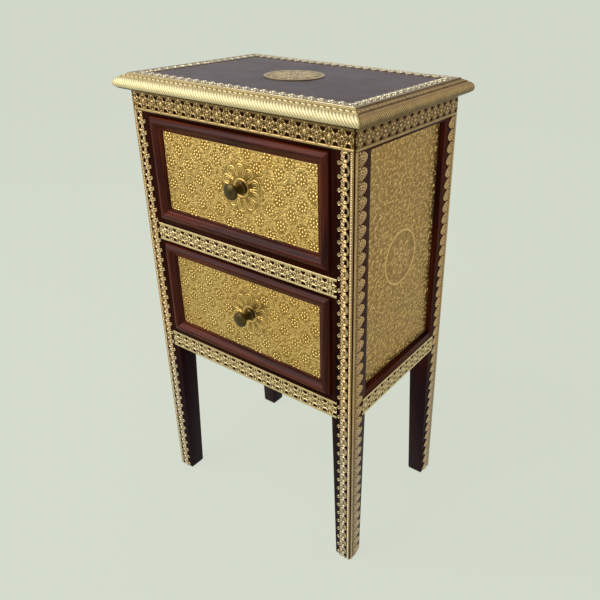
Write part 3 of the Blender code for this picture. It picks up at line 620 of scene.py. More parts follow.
class Frieze:
    """A strip with domed openings at both edges and a rosette midway between openings.

    A frieze with a ball on every rosette has beads in place of leaves and loops. Under the top, the
    upper edge keeps a low crown and so a dark recess colour, painted shade.
    """

    def __init__(self, reach, pitch, first, balls, under_top):
        self.reach = reach
        self.pitch = pitch
        self.first = first
        self.balls = balls
        self.under_top = under_top

    def cell(self, u, v):
        """Distances from the middle of an opening, from the next rosette and from the nearer edge."""
        a = np.abs(repeat(u - self.first, self.pitch))
        return a, self.pitch / 2 - a, self.reach[1] - np.abs(v)

    def cut(self, u, v):
        """Domed openings that point at the middle of the strip."""
        a, _, y = self.cell(u, v)
        rise = np.clip(y - FRIEZE.edge, 0, None) / FRIEZE.height
        out = ((a / FRIEZE.half_base) ** FRIEZE.round + rise ** FRIEZE.round) ** (1 / FRIEZE.round)
        return nearest(y - FRIEZE.edge, (1 - out) * FRIEZE.half_base)

    def beaded(self, a, y, from_rosette):
        across, down = SIDE_FRIEZE.bead_place
        from_bead = to_point(a, y, (across, self.reach[1] - down))
        return highest(np.full_like(a, SIDE_FRIEZE.ground), raised(from_rosette, *SIDE_FRIEZE.ball),
                       raised(from_bead, *SIDE_FRIEZE.bead))

    def leafy(self, a, w, y, from_rosette, has_ball):
        """Leaves round each opening, ringed rosettes, some with a ball, and a loop at each edge."""
        point = FRIEZE.edge + FRIEZE.height
        from_loop = to_point(w, y, (0, FRIEZE.loop_place))
        height = highest(
            raised(to_segment(a, y - point, *FRIEZE.inner_line), *FRIEZE.inner_leaf),
            raised(to_segment(a, y - FRIEZE.edge, *FRIEZE.outer_line), *FRIEZE.outer_leaf),
            raised(from_rosette - FRIEZE.rosette, *FRIEZE.rosette_ridge),
            raised(from_loop - FRIEZE.loop, *FRIEZE.loop_ridge),
            np.where(has_ball, raised(from_rosette, *FRIEZE.ball), HIDDEN))
        pits = ((from_rosette < FRIEZE.pit) & ~has_ball) | (from_loop < FRIEZE.loop_pit)
        return height - FRIEZE.pit_depth * pits

    def relief(self, u, v):
        a, w, y = self.cell(u, v)
        middle = self.reach[1]
        from_rosette = to_point(w, y, (0, middle))
        if self.balls == 1:
            ornament = self.beaded(a, y, from_rosette)
            beads, crown = SIDE_BEADS, BAND_CROWNS["side"]
        else:
            has_ball = np.floor((u - self.first) / self.pitch) % self.balls == 0
            ornament = self.leafy(a, w, y, from_rosette, has_ball)
            beads, crown = FRIEZE_BEADS, BAND_CROWNS["front"]
        # Painted shade: under the top, the upper band keeps a low crown and so the dark recess colour.
        crown = np.where((v > 0) & self.under_top, BAND_CROWNS["under_top"], crown)
        bands = np.where(y < 2 * FRIEZE.band, crown * dome(y - FRIEZE.band, FRIEZE.band), FRIEZE.ground)
        dots = highest(*[raised(to_point(w, y, (across, middle - down)), half, rise)
                         for across, down, half, rise in beads])
        spacing = FRIEZE.pin_spacing
        pin_run = (u + self.reach[0] + spacing / 3) % spacing - spacing / 2
        pin = raised(to_point(pin_run, y, (0, FRIEZE.pin_in)), *FRIEZE.pin)
        return highest(bands, ornament, dots, pin) + FRIEZE.uneven * hammered(u, v)


class CABINET_OT_friezes(bpy.types.Operator):
    """Make the pierced frieze strips of the front and the sides"""
    bl_idname = "cabinet.friezes"
    bl_label = "Pierced friezes"

    def execute(self, context):
        grid = context.scene.cabinet_ornament.strip_grid
        for node, (outward, finish, *shape) in FRIEZES.items():
            add_sheet("pierced", node, outward, finish, grid, Frieze, *shape, "_top_" in node)
        return {"FINISHED"}


# Scroll strips. In is measured from the outer edge of the post and up from the middle of a scroll
SCROLL = Sizes(base=4.9, bar_out=2.1, bar_in=3.6, bar=(0.66, 0.9), bar_pitch=2.25, band=0.95,
               band_height=0.16, ring_centre=11.3, ring_wide=6.0, ring_tall=7.3, outer_ring=0.90,
               outer_ridge=(0.65, 1.0), ring_end=14.4, inner_ring=0.65, inner_ridge=(0.55, 0.85),
               volute_in=15.6, volute_up=2.75, volute=2.85, volute_line=2.2, volute_ridge=(0.6, 0.9),
               ball_in=13.3, ball_ups=(3.3, -1.6), ball=(1.4, 1.4), hole_centre=10.2, hole_wide=2.65,
               hole_tall=3.45, hole_down=0.3, hole_side=12.3,
               neck_out=11.5, neck=1.7, neck_ridge=(0.65, 0.9),
               neck_line=((17.6, 0.2), (13.6, -1.7)), tab_in=20.0, tab=3.0, tab_line=2.35,
               tab_up=638.25, ground=0.10, uneven=0.04)


class ScrollStrip:
    """Rings that end in volutes with balls, round tabs on crossed necks, and a row of short bars."""

    def __init__(self, reach, corner, step, first):
        self.reach = reach
        self.corner = corner
        self.step = step
        self.first = first

    def cell(self, u, v):
        """Distance in from the edge of the post, and height from the middle of the scroll."""
        return self.reach[0] - self.corner * u, (v - self.first) % self.step - self.step / 2

    def lines(self, a, y):
        """Share of the way out to the ring's rim, and distances to the volutes, the neck and the tab."""
        up = np.abs(y)
        tab = (SCROLL.tab_in, self.step / 2)
        rim = np.hypot((a - SCROLL.ring_centre) / SCROLL.ring_wide, y / SCROLL.ring_tall)
        return (rim, to_point(a, up, (SCROLL.volute_in, SCROLL.volute_up)),
                to_segment(a, up, (SCROLL.neck_out, self.step / 2), tab), to_point(a, up, tab))

    def cut(self, u, v):
        """All round the rings, volutes, necks and tabs, and the half-round hole in each ring."""
        a, y = self.cell(u, v)
        rim, volute, neck, tab = self.lines(a, y)
        outside = nearest(a - SCROLL.base, (rim - 1) * SCROLL.ring_wide, volute - SCROLL.volute,
                          neck - SCROLL.neck, tab - SCROLL.tab)
        hole = 1 - np.hypot((a - SCROLL.hole_centre) / SCROLL.hole_wide,
                            (y + SCROLL.hole_down) / SCROLL.hole_tall)
        return highest(outside, nearest(hole * SCROLL.hole_wide, SCROLL.hole_side - a))

    def relief(self, u, v):
        a, y = self.cell(u, v)
        bars = max(1, round(2 * self.reach[1] / SCROLL.bar_pitch))
        run = (v + self.reach[1]) % (2 * self.reach[1] / bars) - self.reach[1] / bars
        rim, volute, _, tab = self.lines(a, y)
        outer = raised((rim - SCROLL.outer_ring) * SCROLL.ring_wide, *SCROLL.outer_ridge)
        inner = raised((rim - SCROLL.inner_ring) * SCROLL.ring_wide, *SCROLL.inner_ridge)
        neck = to_segment(a, np.abs(y) - self.step / 2, *SCROLL.neck_line)
        balls = nearest(*[to_point(a, y, (SCROLL.ball_in, up)) for up in SCROLL.ball_ups])
        height = highest(raised(to_segment(a, run, (SCROLL.bar_out, 0), (SCROLL.bar_in, 0)), *SCROLL.bar),
                         raised(a - SCROLL.band, SCROLL.band, SCROLL.band_height),
                         np.where(a < SCROLL.ring_end, outer, HIDDEN),
                         np.where(a < SCROLL.ball_in, inner, HIDDEN),
                         raised(volute - SCROLL.volute_line, *SCROLL.volute_ridge),
                         raised(balls, *SCROLL.ball), raised(neck, *SCROLL.neck_ridge),
                         raised(tab - SCROLL.tab_line, *SCROLL.neck_ridge))
        return np.maximum(height, SCROLL.ground) + SCROLL.uneven * hammered(u, v)


class CABINET_OT_scroll_strips(bpy.types.Operator):
    """Make the open scroll strips on the front faces of the front posts"""
    bl_idname = "cabinet.scroll_strips"
    bl_label = "Scroll strips"

    def execute(self, context):
        ornament = context.scene.cabinet_ornament
        for side_name, side in SIDES:
            node = f"front_{side_name}_scroll_strip"
            low, high = corners(node)
            first = SCROLL.tab_up - (low.z + high.z) / 2 / MM
            add_sheet("open", node, -BACKWARDS, "scroll", ornament.fine_grid, ScrollStrip, side,
                      ornament.scroll_pitch / MM, first)
        return {"FINISHED"}


# Leaf strips. In is measured from the outer edge of the post, and heights on a leaf are shares of its repeat
LEAF_SHARES = np.array([0, 0.02, 0.10, 0.20, 0.32, 0.44, 0.58, 0.68, 0.78, 0.86, 0.93, 0.98, 1])
LEAF_REACH = np.array([12.4, 13.6, 16.4, 18.9, 21.2, 22.7, 23.3, 23.0, 21.7, 19.7, 17.2, 14.2, 12.4])
LEAF_STEMS = (((6.4, 0.14), (11.8, 0.36)), ((6.4, 0.36), (10.8, 0.52)), ((6.4, 0.60), (10.0, 0.72)))
# Ridges inside the rim of a leaf as inset, half width and height
LEAF_RIDGES = ((2.9, 0.65, 0.8), (4.9, 0.6, 0.7))
LEAF = Sizes(slant=0.72, rim_in=0.8, rim=(0.75, 1.0), ridges_up_to=0.48, ridges_from=9.0, curl_in=14.9,
             curl_up=0.645, curl=3.8, curl_ridge=(0.9, 1.0), curl_ball=(1.75, 1.4), stem=(0.75, 0.75),
             ball_in=8.2, ball_up=0.90, ball=(1.6, 1.1), band=3.6, band_height=0.32, ground=-0.2, bead_in=4.8,
             bead_pitch=2.6, bead=(0.95, 0.4), uneven=0.05, coarser=1.28)


class LeafStrip:
    """Curled leaves that point down on the front posts and up on the back ones, and a plain band."""

    def __init__(self, reach, corner, end, pitch):
        self.reach = reach
        self.corner = corner
        self.end = end
        self.step = 2 * reach[1] / max(1, round(2 * reach[1] / pitch))

    def cell(self, u, v):
        """Distance in from the edge of the post and height in the repeat."""
        return self.reach[0] - self.corner * u, (self.reach[1] - self.end * v) % self.step

    def from_rim(self, a, y):
        """Rough signed distance to the edge of the leaves, below zero inside."""
        return (a - np.interp(y / self.step, LEAF_SHARES, LEAF_REACH)) * LEAF.slant

    def cut(self, u, v):
        return self.from_rim(*self.cell(u, v))

    def relief(self, u, v):
        """A rim and nested ridges, a curl, stems and a ball on each leaf, and beads beside the band."""
        a, y = self.cell(u, v)
        from_rim = self.from_rim(a, y)
        nested = highest(*[raised(from_rim + inset, half, rise) for inset, half, rise in LEAF_RIDGES])
        has_ridges = (y < LEAF.ridges_up_to * self.step) & (a > LEAF.ridges_from)
        from_curl = to_point(a, y, (LEAF.curl_in, LEAF.curl_up * self.step))
        stems = [to_segment(a, y, (start[0], start[1] * self.step), (end[0], end[1] * self.step))
                 for start, end in LEAF_STEMS]
        bead_run = y % LEAF.bead_pitch - LEAF.bead_pitch / 2
        height = highest(raised(from_rim + LEAF.rim_in, *LEAF.rim), np.where(has_ridges, nested, HIDDEN),
                         raised(from_curl - LEAF.curl, *LEAF.curl_ridge), raised(from_curl, *LEAF.curl_ball),
                         raised(nearest(*stems), *LEAF.stem),
                         raised(to_point(a, y, (LEAF.ball_in, LEAF.ball_up * self.step)), *LEAF.ball),
                         np.where(a < LEAF.band, LEAF.band_height, LEAF.ground),
                         raised(to_point(a, bead_run, (LEAF.bead_in, 0)), *LEAF.bead))
        return height + LEAF.uneven * hammered(u, v)


class CABINET_OT_leaf_strips(bpy.types.Operator):
    """Make the scalloped leaf strips on the side faces of the posts"""
    bl_idname = "cabinet.leaf_strips"
    bl_label = "Leaf strips"

    def execute(self, context):
        ornament = context.scene.cabinet_ornament
        for side_name, side in SIDES:
            for end_name, end in ENDS:
                add_sheet("scalloped", f"{side_name}_{end_name}_leaf_strip", ACROSS * side, "shaded",
                          ornament.fine_grid * LEAF.coarser, LeafStrip, side * end, end,
                          ornament.leaf_pitch / MM)
        return {"FINISHED"}


# Embossed sheets
ROSETTE = Sizes(petals=10, first=math.pi / 2, root=15.5, root_half=4.9, nose=26.2, nose_half=7.15, reach=35.2,
                bare=37.5, ring=12.2, ring_ridge=(0.9, 0.55), dot=(0.9, 0.4), sunk=0.13, ground=0.4)
# Outlines of a petal as inset, half width, height and distance out where they start
ROSETTE_LINES = ((0.85, 0.84, 0.66, 15.0), (4.1, 0.74, 0.47, 21.5))
FLOWER = Sizes(petals=8, petal_place=5.6, petal=1.42, eye=1.65, reach=8.0, sunk=0.08, first_column=128.5,
               first_row=51.0, halo=6.9, halo_end=8.8, lean=0.06, shift=0.5)
# Leaves of a sprig as start, end and half width
SPRIG = Sizes(reach=10.5, height=0.5, lean=0.12,
              leaves=(((2.4, 1.2), (4.4, 2.3), 0.75), ((4.6, 4.3), (6.6, 5.6), 0.70),
                      ((1.3, 3.9), (2.4, 6.2), 0.65), ((6.2, 0.7), (8.4, 1.3), 0.70)))
DOT = Sizes(reach=5.6, radius=1.2, height=0.8, stroke=0.8, stroke_height=0.6, along=0.72, up=0.69,
            runs=(2.3, 4.6))
# Strokes as least and largest share of a size, share with the first lean, spread and half turns in degrees
STROKE = Sizes(sizes=(0.8, 1.6), first_lean=0.7, spread=25, half_turns=(25, 55), shift=0.4)
# Ground of strokes as two leans in degrees, spacing, size, half width and height
DRAWER_GROUND = ((20, -40), 3.6, 2.4, 0.72, 0.42)
SIDE_GROUNDS = (((38, -30), 4.6, 3.0, 0.9, 0.14), ((40, -25), 7.3, 2.4, 0.70, 0.85))
SIDE_RING = Sizes(radius=39.5, half=1.2, height=0.65, place=(-0.4, -3.4), petals=8, petal_out=18.5,
                  petal_long=6.5, petal_wide=3.6, petal_line=0.30, petal_height=0.4, eye=1.6,
                  eye_ring=5.0, eye_line=1.2, eye_height=0.5, dot_out=31.0, dot=2.0, dot_height=0.35,
                  inside=0.35, flower=0.8, fade=4.0)
DRAWER_SEED = 11
SIDE_SEED = 23


def raise_near(heights, u, v, centre, reach, shape):
    """Raise the heights near a centre to a shape given in local u and v."""
    near = np.nonzero((np.abs(u - centre[0]) < reach) & (np.abs(v - centre[1]) < reach))[0]
    if near.size:
        heights[near] = np.maximum(heights[near], shape(u[near] - centre[0], v[near] - centre[1]))


def flower(turn):
    """Separate round petals round a dot."""
    def shape(u, v):
        height = dome(np.hypot(u, v), FLOWER.eye)
        for petal in range(FLOWER.petals):
            at = turn + math.tau * petal / FLOWER.petals
            place = (FLOWER.petal_place * math.cos(at), FLOWER.petal_place * math.sin(at))
            height = highest(height, dome(to_point(u, v, place), FLOWER.petal))
        return height
    return shape


def sprig(turn):
    """Leaves that spread from a middle to all four sides."""
    def shape(u, v):
        along = np.abs(u * math.cos(turn) + v * math.sin(turn))
        across = np.abs(v * math.cos(turn) - u * math.sin(turn))
        leaves = [dome(to_segment(along, across, start, end), half) for start, end, half in SPRIG.leaves]
        return SPRIG.height * highest(*leaves)
    return shape


def trellis_dot(slope):
    """A dot between two flowers, with a stroke on either side of it towards the sprigs."""
    def shape(u, v):
        height = DOT.height * dome(np.hypot(u, v), DOT.radius)
        for way in (-1, 1):
            start, end = ((way * run * DOT.along, way * run * slope * DOT.up) for run in DOT.runs)
            height = highest(height, DOT.stroke_height * dome(to_segment(u, v, start, end), DOT.stroke))
        return height
    return shape


def stroke(rng, leans, size, line, height):
    """One short curved stroke of the leafy ground, most often with the first of two leans in degrees."""
    radius = size * rng.uniform(*STROKE.sizes)
    lean = leans[0] if rng.random() < STROKE.first_lean else leans[1]
    middle = lean + rng.uniform(-STROKE.spread, STROKE.spread) + rng.choice((90, -90))
    half = rng.uniform(*STROKE.half_turns)
    turn = math.radians(middle)
    centre = (-radius * math.cos(turn), -radius * math.sin(turn))

    def shape(u, v):
        return height * dome(to_arc(u, v, centre, radius, middle - half, middle + half), line)
    return shape


def leafy_ground(heights, u, v, reach, rng, leans, spacing, size, line, height):
    """Cover a sheet with strokes on a loose grid."""
    for row in np.arange(-reach[1], reach[1] + spacing, spacing):
        for column in np.arange(-reach[0], reach[0] + spacing, spacing):
            centre = [part + rng.uniform(-STROKE.shift, STROKE.shift) * spacing for part in (column, row)]
            raise_near(heights, u, v, centre, STROKE.sizes[1] * size + line,
                       stroke(rng, leans, size, line, height))


def rosette(u, v):
    """Looped petals round the seat of the knob."""
    out, side = in_petal(u, v, ROSETTE.petals, ROSETTE.first)
    run = ROSETTE.nose - ROSETTE.root
    share = np.clip((out - ROSETTE.root) / run, 0, 1)
    half = ROSETTE.root_half + (ROSETTE.nose_half - ROSETTE.root_half) * share
    inset = half - np.hypot(out - ROSETTE.root - share * run, side)
    lines = [np.where(out > start, raised(inset - line, width, rise), HIDDEN)
             for line, width, rise, start in ROSETTE_LINES]
    return highest(raised(np.hypot(u, v) - ROSETTE.ring, *ROSETTE.ring_ridge), *lines,
                   raised(to_point(out, side, (ROSETTE.nose, 0)), *ROSETTE.dot),
                   np.where(inset > 0, -ROSETTE.sunk, HIDDEN))


class EmbossedSheet:
    """A sheet without openings, with a bead along its edges."""
    cut = None
    bead_height = 0.4

    def __init__(self, reach):
        self.reach = reach

    def from_edge(self, u, v):
        return nearest(self.reach[0] - np.abs(u), self.reach[1] - np.abs(v))

    def edged(self, u, v, heights):
        """Add the bead along the edges and the unevenness of the sheet."""
        bead = self.bead_height * dome(self.from_edge(u, v) - self.bead_in, self.bead_half)
        return highest(heights, bead) + self.uneven * hammered(u, v)


class DrawerSheet(EmbossedSheet):
    """Dotted flowers in staggered rows on a leafy ground, and a rosette round the knob."""
    bead_in = 0.8
    bead_half = 0.9
    uneven = 0.07

    def __init__(self, reach, knob, pitch, row_pitch):
        super().__init__(reach)
        self.knob = knob
        self.pitch = pitch
        self.row_pitch = row_pitch
        self.cells = [(row, column) for row in range(int(2 * reach[1] / row_pitch) + 2)
                      for column in range(int(2 * reach[0] / pitch) + 2)]

    def centre(self, row, column):
        return FLOWER.first_column - column * self.pitch, FLOWER.first_row - row * self.row_pitch

    def relief(self, u, v):
        rng = np.random.default_rng(DRAWER_SEED)
        heights = np.zeros_like(u)
        leafy_ground(heights, u, v, self.reach, rng, *DRAWER_GROUND)
        for row, column in self.cells:
            centre = self.centre(row, column)
            if math.dist(centre, self.knob) < ROSETTE.bare:
                continue
            centre = tuple(part + rng.uniform(-FLOWER.shift, FLOWER.shift) for part in centre)
            if (row + column) % 2:
                raise_near(heights, u, v, centre, SPRIG.reach, sprig(rng.uniform(-SPRIG.lean, SPRIG.lean)))
                continue
            from_flower = to_point(u, v, centre)
            heights *= np.clip((from_flower - FLOWER.halo) / (FLOWER.halo_end - FLOWER.halo), 0, 1)
            heights[from_flower < FLOWER.halo] = -FLOWER.sunk
            raise_near(heights, u, v, centre, FLOWER.reach, flower(rng.uniform(-FLOWER.lean, FLOWER.lean)))
        for row, column in self.cells:
            slope = 1 if (row + column) % 2 else -1
            raise_near(heights, u, v, self.centre(row - 0.5, column - 0.5), DOT.reach, trellis_dot(slope))
        around = (u - self.knob[0], v - self.knob[1])
        on_rosette = np.hypot(*around) < ROSETTE.reach
        petals = rosette(*around)
        ground = np.where(on_rosette, ROSETTE.ground * heights, heights)
        heights = np.where(on_rosette & (petals > HIDDEN), petals, ground)
        return self.edged(u, v, heights)


class SideSheet(EmbossedSheet):
    """A shallow ground with short raised strokes, round a large ring with a flower in it."""
    bead_in = 0.9
    bead_half = 1.1
    uneven = 0.08

    def __init__(self, reach, turned):
        super().__init__(reach)
        self.turned = turned

    def relief(self, u, v):
        rng = np.random.default_rng(SIDE_SEED)
        heights = np.zeros_like(u)
        for ground in SIDE_GROUNDS:
            leafy_ground(heights, u, v, self.reach, rng, *ground)
        around = (self.turned * u - SIDE_RING.place[0], v - SIDE_RING.place[1])
        from_middle = np.hypot(*around)
        out, side = in_petal(*around, SIDE_RING.petals)
        petal = np.hypot((out - SIDE_RING.petal_out) / SIDE_RING.petal_long, side / SIDE_RING.petal_wide)
        eye = highest(dome(from_middle - SIDE_RING.eye_ring, SIDE_RING.eye_line),
                      dome(from_middle, SIDE_RING.eye))
        flower_lines = highest(SIDE_RING.petal_height * dome(petal - 1, SIDE_RING.petal_line),
                               SIDE_RING.eye_height * eye,
                               SIDE_RING.dot_height * dome(to_point(out, side, (SIDE_RING.dot_out, 0)),
                                                           SIDE_RING.dot))
        heights = np.where(from_middle < SIDE_RING.radius,
                           SIDE_RING.inside * heights + SIDE_RING.flower * flower_lines, heights)
        ring = SIDE_RING.height * dome(from_middle - SIDE_RING.radius, SIDE_RING.half)
        heights = highest(heights, ring) * np.clip(self.from_edge(u, v) / SIDE_RING.fade, 0, 1)
        return self.edged(u, v, heights)


class CABINET_OT_drawer_sheets(bpy.types.Operator):
    """Make the embossed sheets on the drawer fronts"""
    bl_idname = "cabinet.drawer_sheets"
    bl_label = "Drawer sheets"

    def execute(self, context):
        ornament = context.scene.cabinet_ornament
        for level in LEVELS:
            node = f"{level}_drawer_sheet"
            apart = sum(corners(f"{level}_drawer_knob"), Vector()) / 2 - sum(corners(node), Vector()) / 2
            add_sheet("embossed", node, -BACKWARDS, "sheet", ornament.sheet_grid, DrawerSheet,
                      (apart.x / MM, apart.z / MM), ornament.flower_pitch / MM, ornament.row_pitch / MM,
                      body=f"{level}_drawer")
        return {"FINISHED"}


class CABINET_OT_side_sheets(bpy.types.Operator):
    """Make the embossed sheets on the side panels"""
    bl_idname = "cabinet.side_sheets"
    bl_label = "Side sheets"

    def execute(self, context):
        grid = context.scene.cabinet_ornament.side_grid
        for side_name, side in SIDES:
            add_sheet("embossed", f"{side_name}_side_sheet", ACROSS * side, "side", grid, SideSheet, side)
        return {"FINISHED"}


# Top with its moulded brass edge. Out is measured from the carcass and up from the underside
EDGE = Sizes(proud=0.75, depth=0.35, grid=0.72, rows=42, start=0.2, arris=1.2, arris_bead=0.9,
             arris_down=0.55, cove_in=2.9, cove_out=7.3, cove_high=20.4, cove_low=18.7, cove_sag=0.25,
             cove_half=2.6, ridge=0.85, ridge_out=8.15, ridge_up=17.95, roll_out=9.0, roll_up=8.9,
             roll_wide=7.7, roll_tall=8.1, overhang=16.7, lip_out=15.0, lip_up=3.9, mitre=0.15, lean=2.7,
             bend=1.25, flute=0.72, flute_base=0.12, dart_pitch=8.75, dart_down=1.1, dart_slope=0.3,
             dart=(1.3, 1.2), plain=0.02, side_flute=4.0, end_bare=0.5, end_fade=1.5, roll_fade=0.04,
             uneven=0.05)
# Flutes end at a share of the roll and fade over a share of it. Cove is its height, dart_half half a dart
FRONT_STYLE = Sizes(flute_end=1.0, flute_fade=0.06, flute_power=0.8, cove=-0.2, dart_half=2.5)
SIDE_STYLE = Sizes(flute_end=0.85, flute_fade=0.4, flute_power=1.5, cove=0.2, dart_half=0.8)
ARRIS_ANGLES = range(80, -31, -22)
RIDGE_ANGLES = range(115, -21, -27)
COVE_STEPS = 6
ROLL_STEPS = 26
ROLL_START = 86
ROLL_TURN = 122
LACE = Sizes(width=20.8, out=1.0, low=0.35, depth=0.3, grid=0.70, band=10.0, scallop=13.4,
             scallop_radius=6.3, scallop_from=10.5, scallop_line=5.5, scallop_ridge=(0.85, 0.95), eye=14.6,
             eye_hole=1.5, eye_ring=2.5, eye_ridge=(0.9, 1.0), loop=7.0, loop_hole=1.2, loop_ring=2.1,
             loop_ridge=(0.85, 0.9), ball=8.6, ball_bead=(1.8, 1.0), bead=3.9, bead_ridge=(1.1, 0.7),
             line=1.3, line_ridge=(0.6, 0.6), ground=-0.15, uneven=0.05)
TOP_EDGES = {"front": -BACKWARDS, "right": ACROSS, "back": BACKWARDS, "left": -ACROSS}


def oval(centre, wide, tall, angles):
    """Points of an ellipse at some angles in degrees."""
    turns = [math.radians(degrees) for degrees in angles]
    return [(centre[0] + wide * math.cos(turn), centre[1] + tall * math.sin(turn)) for turn in turns]


def edge_profile(top_up):
    """Points (out, up) of the bent brass from the arris to the lower lip, and where cove and roll lie."""
    points = [(EDGE.start, top_up)]
    points += oval((EDGE.arris, top_up - EDGE.arris_down), EDGE.arris_bead, EDGE.arris_bead, ARRIS_ANGLES)
    cove = len(points) + COVE_STEPS // 2
    for share in np.arange(COVE_STEPS + 1) / COVE_STEPS:
        sag = EDGE.cove_sag * math.sin(share * math.pi)
        points.append((EDGE.cove_in + (EDGE.cove_out - EDGE.cove_in) * share,
                       EDGE.cove_high + (EDGE.cove_low - EDGE.cove_high) * share - sag))
    points += oval((EDGE.ridge_out, EDGE.ridge_up), EDGE.ridge, EDGE.ridge, RIDGE_ANGLES)
    roll = (len(points), len(points) + ROLL_STEPS)
    points += oval((EDGE.roll_out, EDGE.roll_up), EDGE.roll_wide, EDGE.roll_tall,
                   [ROLL_START - ROLL_TURN * step / ROLL_STEPS for step in range(ROLL_STEPS + 1)])
    points.append((EDGE.lip_out, EDGE.lip_up))
    return np.array(points), cove, roll


class EdgeBend:
    """Bends a flat strip round the profile of the top's edge, on one side of the top.

    It has slanting darts in the cove, and slanting flutes on the roll down to a share of it.
    """

    def __init__(self, outward, half_run, face, underside, top_up, flute, style):
        self.points, cove, roll = edge_profile(top_up)
        runs = np.hypot(*np.diff(self.points, axis=0).T)
        self.along = np.concatenate([[0], np.cumsum(runs)])
        slopes = np.gradient(self.points, self.along, axis=0)
        slopes /= np.hypot(*slopes.T)[:, None]
        self.normals = np.stack([-slopes[:, 1], slopes[:, 0]], 1)
        self.outward = outward
        self.half_run = half_run
        self.face = face
        self.underside = underside
        self.top_up = top_up
        self.flute = flute
        self.style = style
        self.length = self.along[-1]
        self.cove = self.along[cove]
        self.roll = [self.along[index] for index in roll]
        self.reach = (half_run + EDGE.overhang, self.length / 2)

    def at(self, v, table):
        distance = np.clip(v + self.length / 2, 0, self.length)
        return np.stack([np.interp(distance, self.along, table[:, index]) for index in (0, 1)], 1)

    def in_run(self, u, v):
        """Place along the edge, drawn in so that the ends meet the mitres."""
        return u * (self.half_run + self.at(v, self.points)[:, 0] - EDGE.mitre) / self.reach[0]

    def stand(self, u, out, up):
        """Points for places along the edge, out from the carcass and up from the underside."""
        axes = np.array((UPWARDS.cross(self.outward), self.outward, UPWARDS))
        return np.stack([u, self.face + out, self.underside + up], 1) @ axes * MM

    def place(self, u, v, height):
        section = self.at(v, self.points) + self.at(v, self.normals) * height[:, None]
        return self.stand(self.in_run(u, v), section[:, 0], section[:, 1])

    def relief(self, u, v):
        style = self.style
        s = v + self.length / 2
        run = self.in_run(u, v)
        ends = self.half_run + self.at(v, self.points)[:, 0] - np.abs(run)
        clear = np.clip((ends - EDGE.end_bare) / EDGE.end_fade, 0, 1)
        tip = (style.dart_half, EDGE.dart_slope * style.dart_half)
        from_dart = to_segment(repeat(run, EDGE.dart_pitch), s - self.cove - EDGE.dart_down,
                               (-tip[0], -tip[1]), tip)
        sunk = np.where(np.abs(s - self.cove) < EDGE.cove_half, style.cove, 0)
        darts = highest(sunk, raised(from_dart, *EDGE.dart))
        share = np.clip((s - self.roll[0]) / (self.roll[1] - self.roll[0]), 0, 1)
        left = (style.flute_end - share) / style.flute_fade
        shown = clear * np.clip(share / EDGE.roll_fade, 0, 1) * np.clip(left, 0, 1)
        phase = (run / self.flute - EDGE.lean * share ** EDGE.bend) % 1.0
        ribs = np.abs(np.sin(math.pi * phase)) ** style.flute_power - EDGE.flute_base
        plain = EDGE.plain * np.clip(1 - left, 0, 1)
        return darts * clear + EDGE.flute * shown * ribs + plain + EDGE.uneven * hammered(run, v)


class LaceBorder:
    """The pierced border on the flat of the top, joined to one bent edge."""

    def __init__(self, bend, pitch):
        self.bend = bend
        self.pitch = pitch
        self.reach = (bend.half_run + LACE.out, LACE.width / 2)

    def cell(self, u, v):
        """Distance from the middle of a scallop, from the gap beside it, and inwards from the top's arris."""
        a = repeat(u, self.pitch)
        return a, self.pitch / 2 - np.abs(a), LACE.width / 2 - v

    def cut(self, u, v):
        """The mitres at both ends, the scallops and the small holes."""
        a, w, s = self.cell(u, v)
        mitre = (np.abs(u) - self.bend.half_run - LACE.out + s + EDGE.mitre) * math.sqrt(0.5)
        metal = nearest(s - LACE.band, to_point(a, s, (0, LACE.scallop)) - LACE.scallop_radius)
        return highest(mitre, metal, LACE.eye_hole - to_point(a, s, (0, LACE.eye)),
                       LACE.loop_hole - to_point(w, s, (0, LACE.loop)))

    def relief(self, u, v):
        """Rings in the scallops, small rings between them and a row of beads."""
        a, w, s = self.cell(u, v)
        scallop = raised(to_point(a, s, (0, LACE.scallop)) - LACE.scallop_line, *LACE.scallop_ridge)
        height = highest(np.where(s > LACE.scallop_from, scallop, HIDDEN),
                         raised(to_point(a, s, (0, LACE.eye)) - LACE.eye_ring, *LACE.eye_ridge),
                         raised(to_point(w, s, (0, LACE.loop)) - LACE.loop_ring, *LACE.loop_ridge),
                         raised(to_point(a, s, (0, LACE.ball)), *LACE.ball_bead),
                         raised(to_point(repeat(u, self.pitch / 3), s, (0, LACE.bead)), *LACE.bead_ridge),
                         raised(s - LACE.line, *LACE.line_ridge), np.full_like(s, LACE.ground))
        return height + LACE.uneven * hammered(u, v)

    def place(self, u, v, height):
        _, _, s = self.cell(u, v)
        return self.bend.stand(u, LACE.out - s, self.bend.top_up - LACE.low + height)


def join(bm, other):
    """Add a second bmesh to the first."""
    mesh = bpy.data.meshes.new("joined")
    other.to_mesh(mesh)
    other.free()
    bm.from_mesh(mesh)
    bpy.data.meshes.remove(mesh)


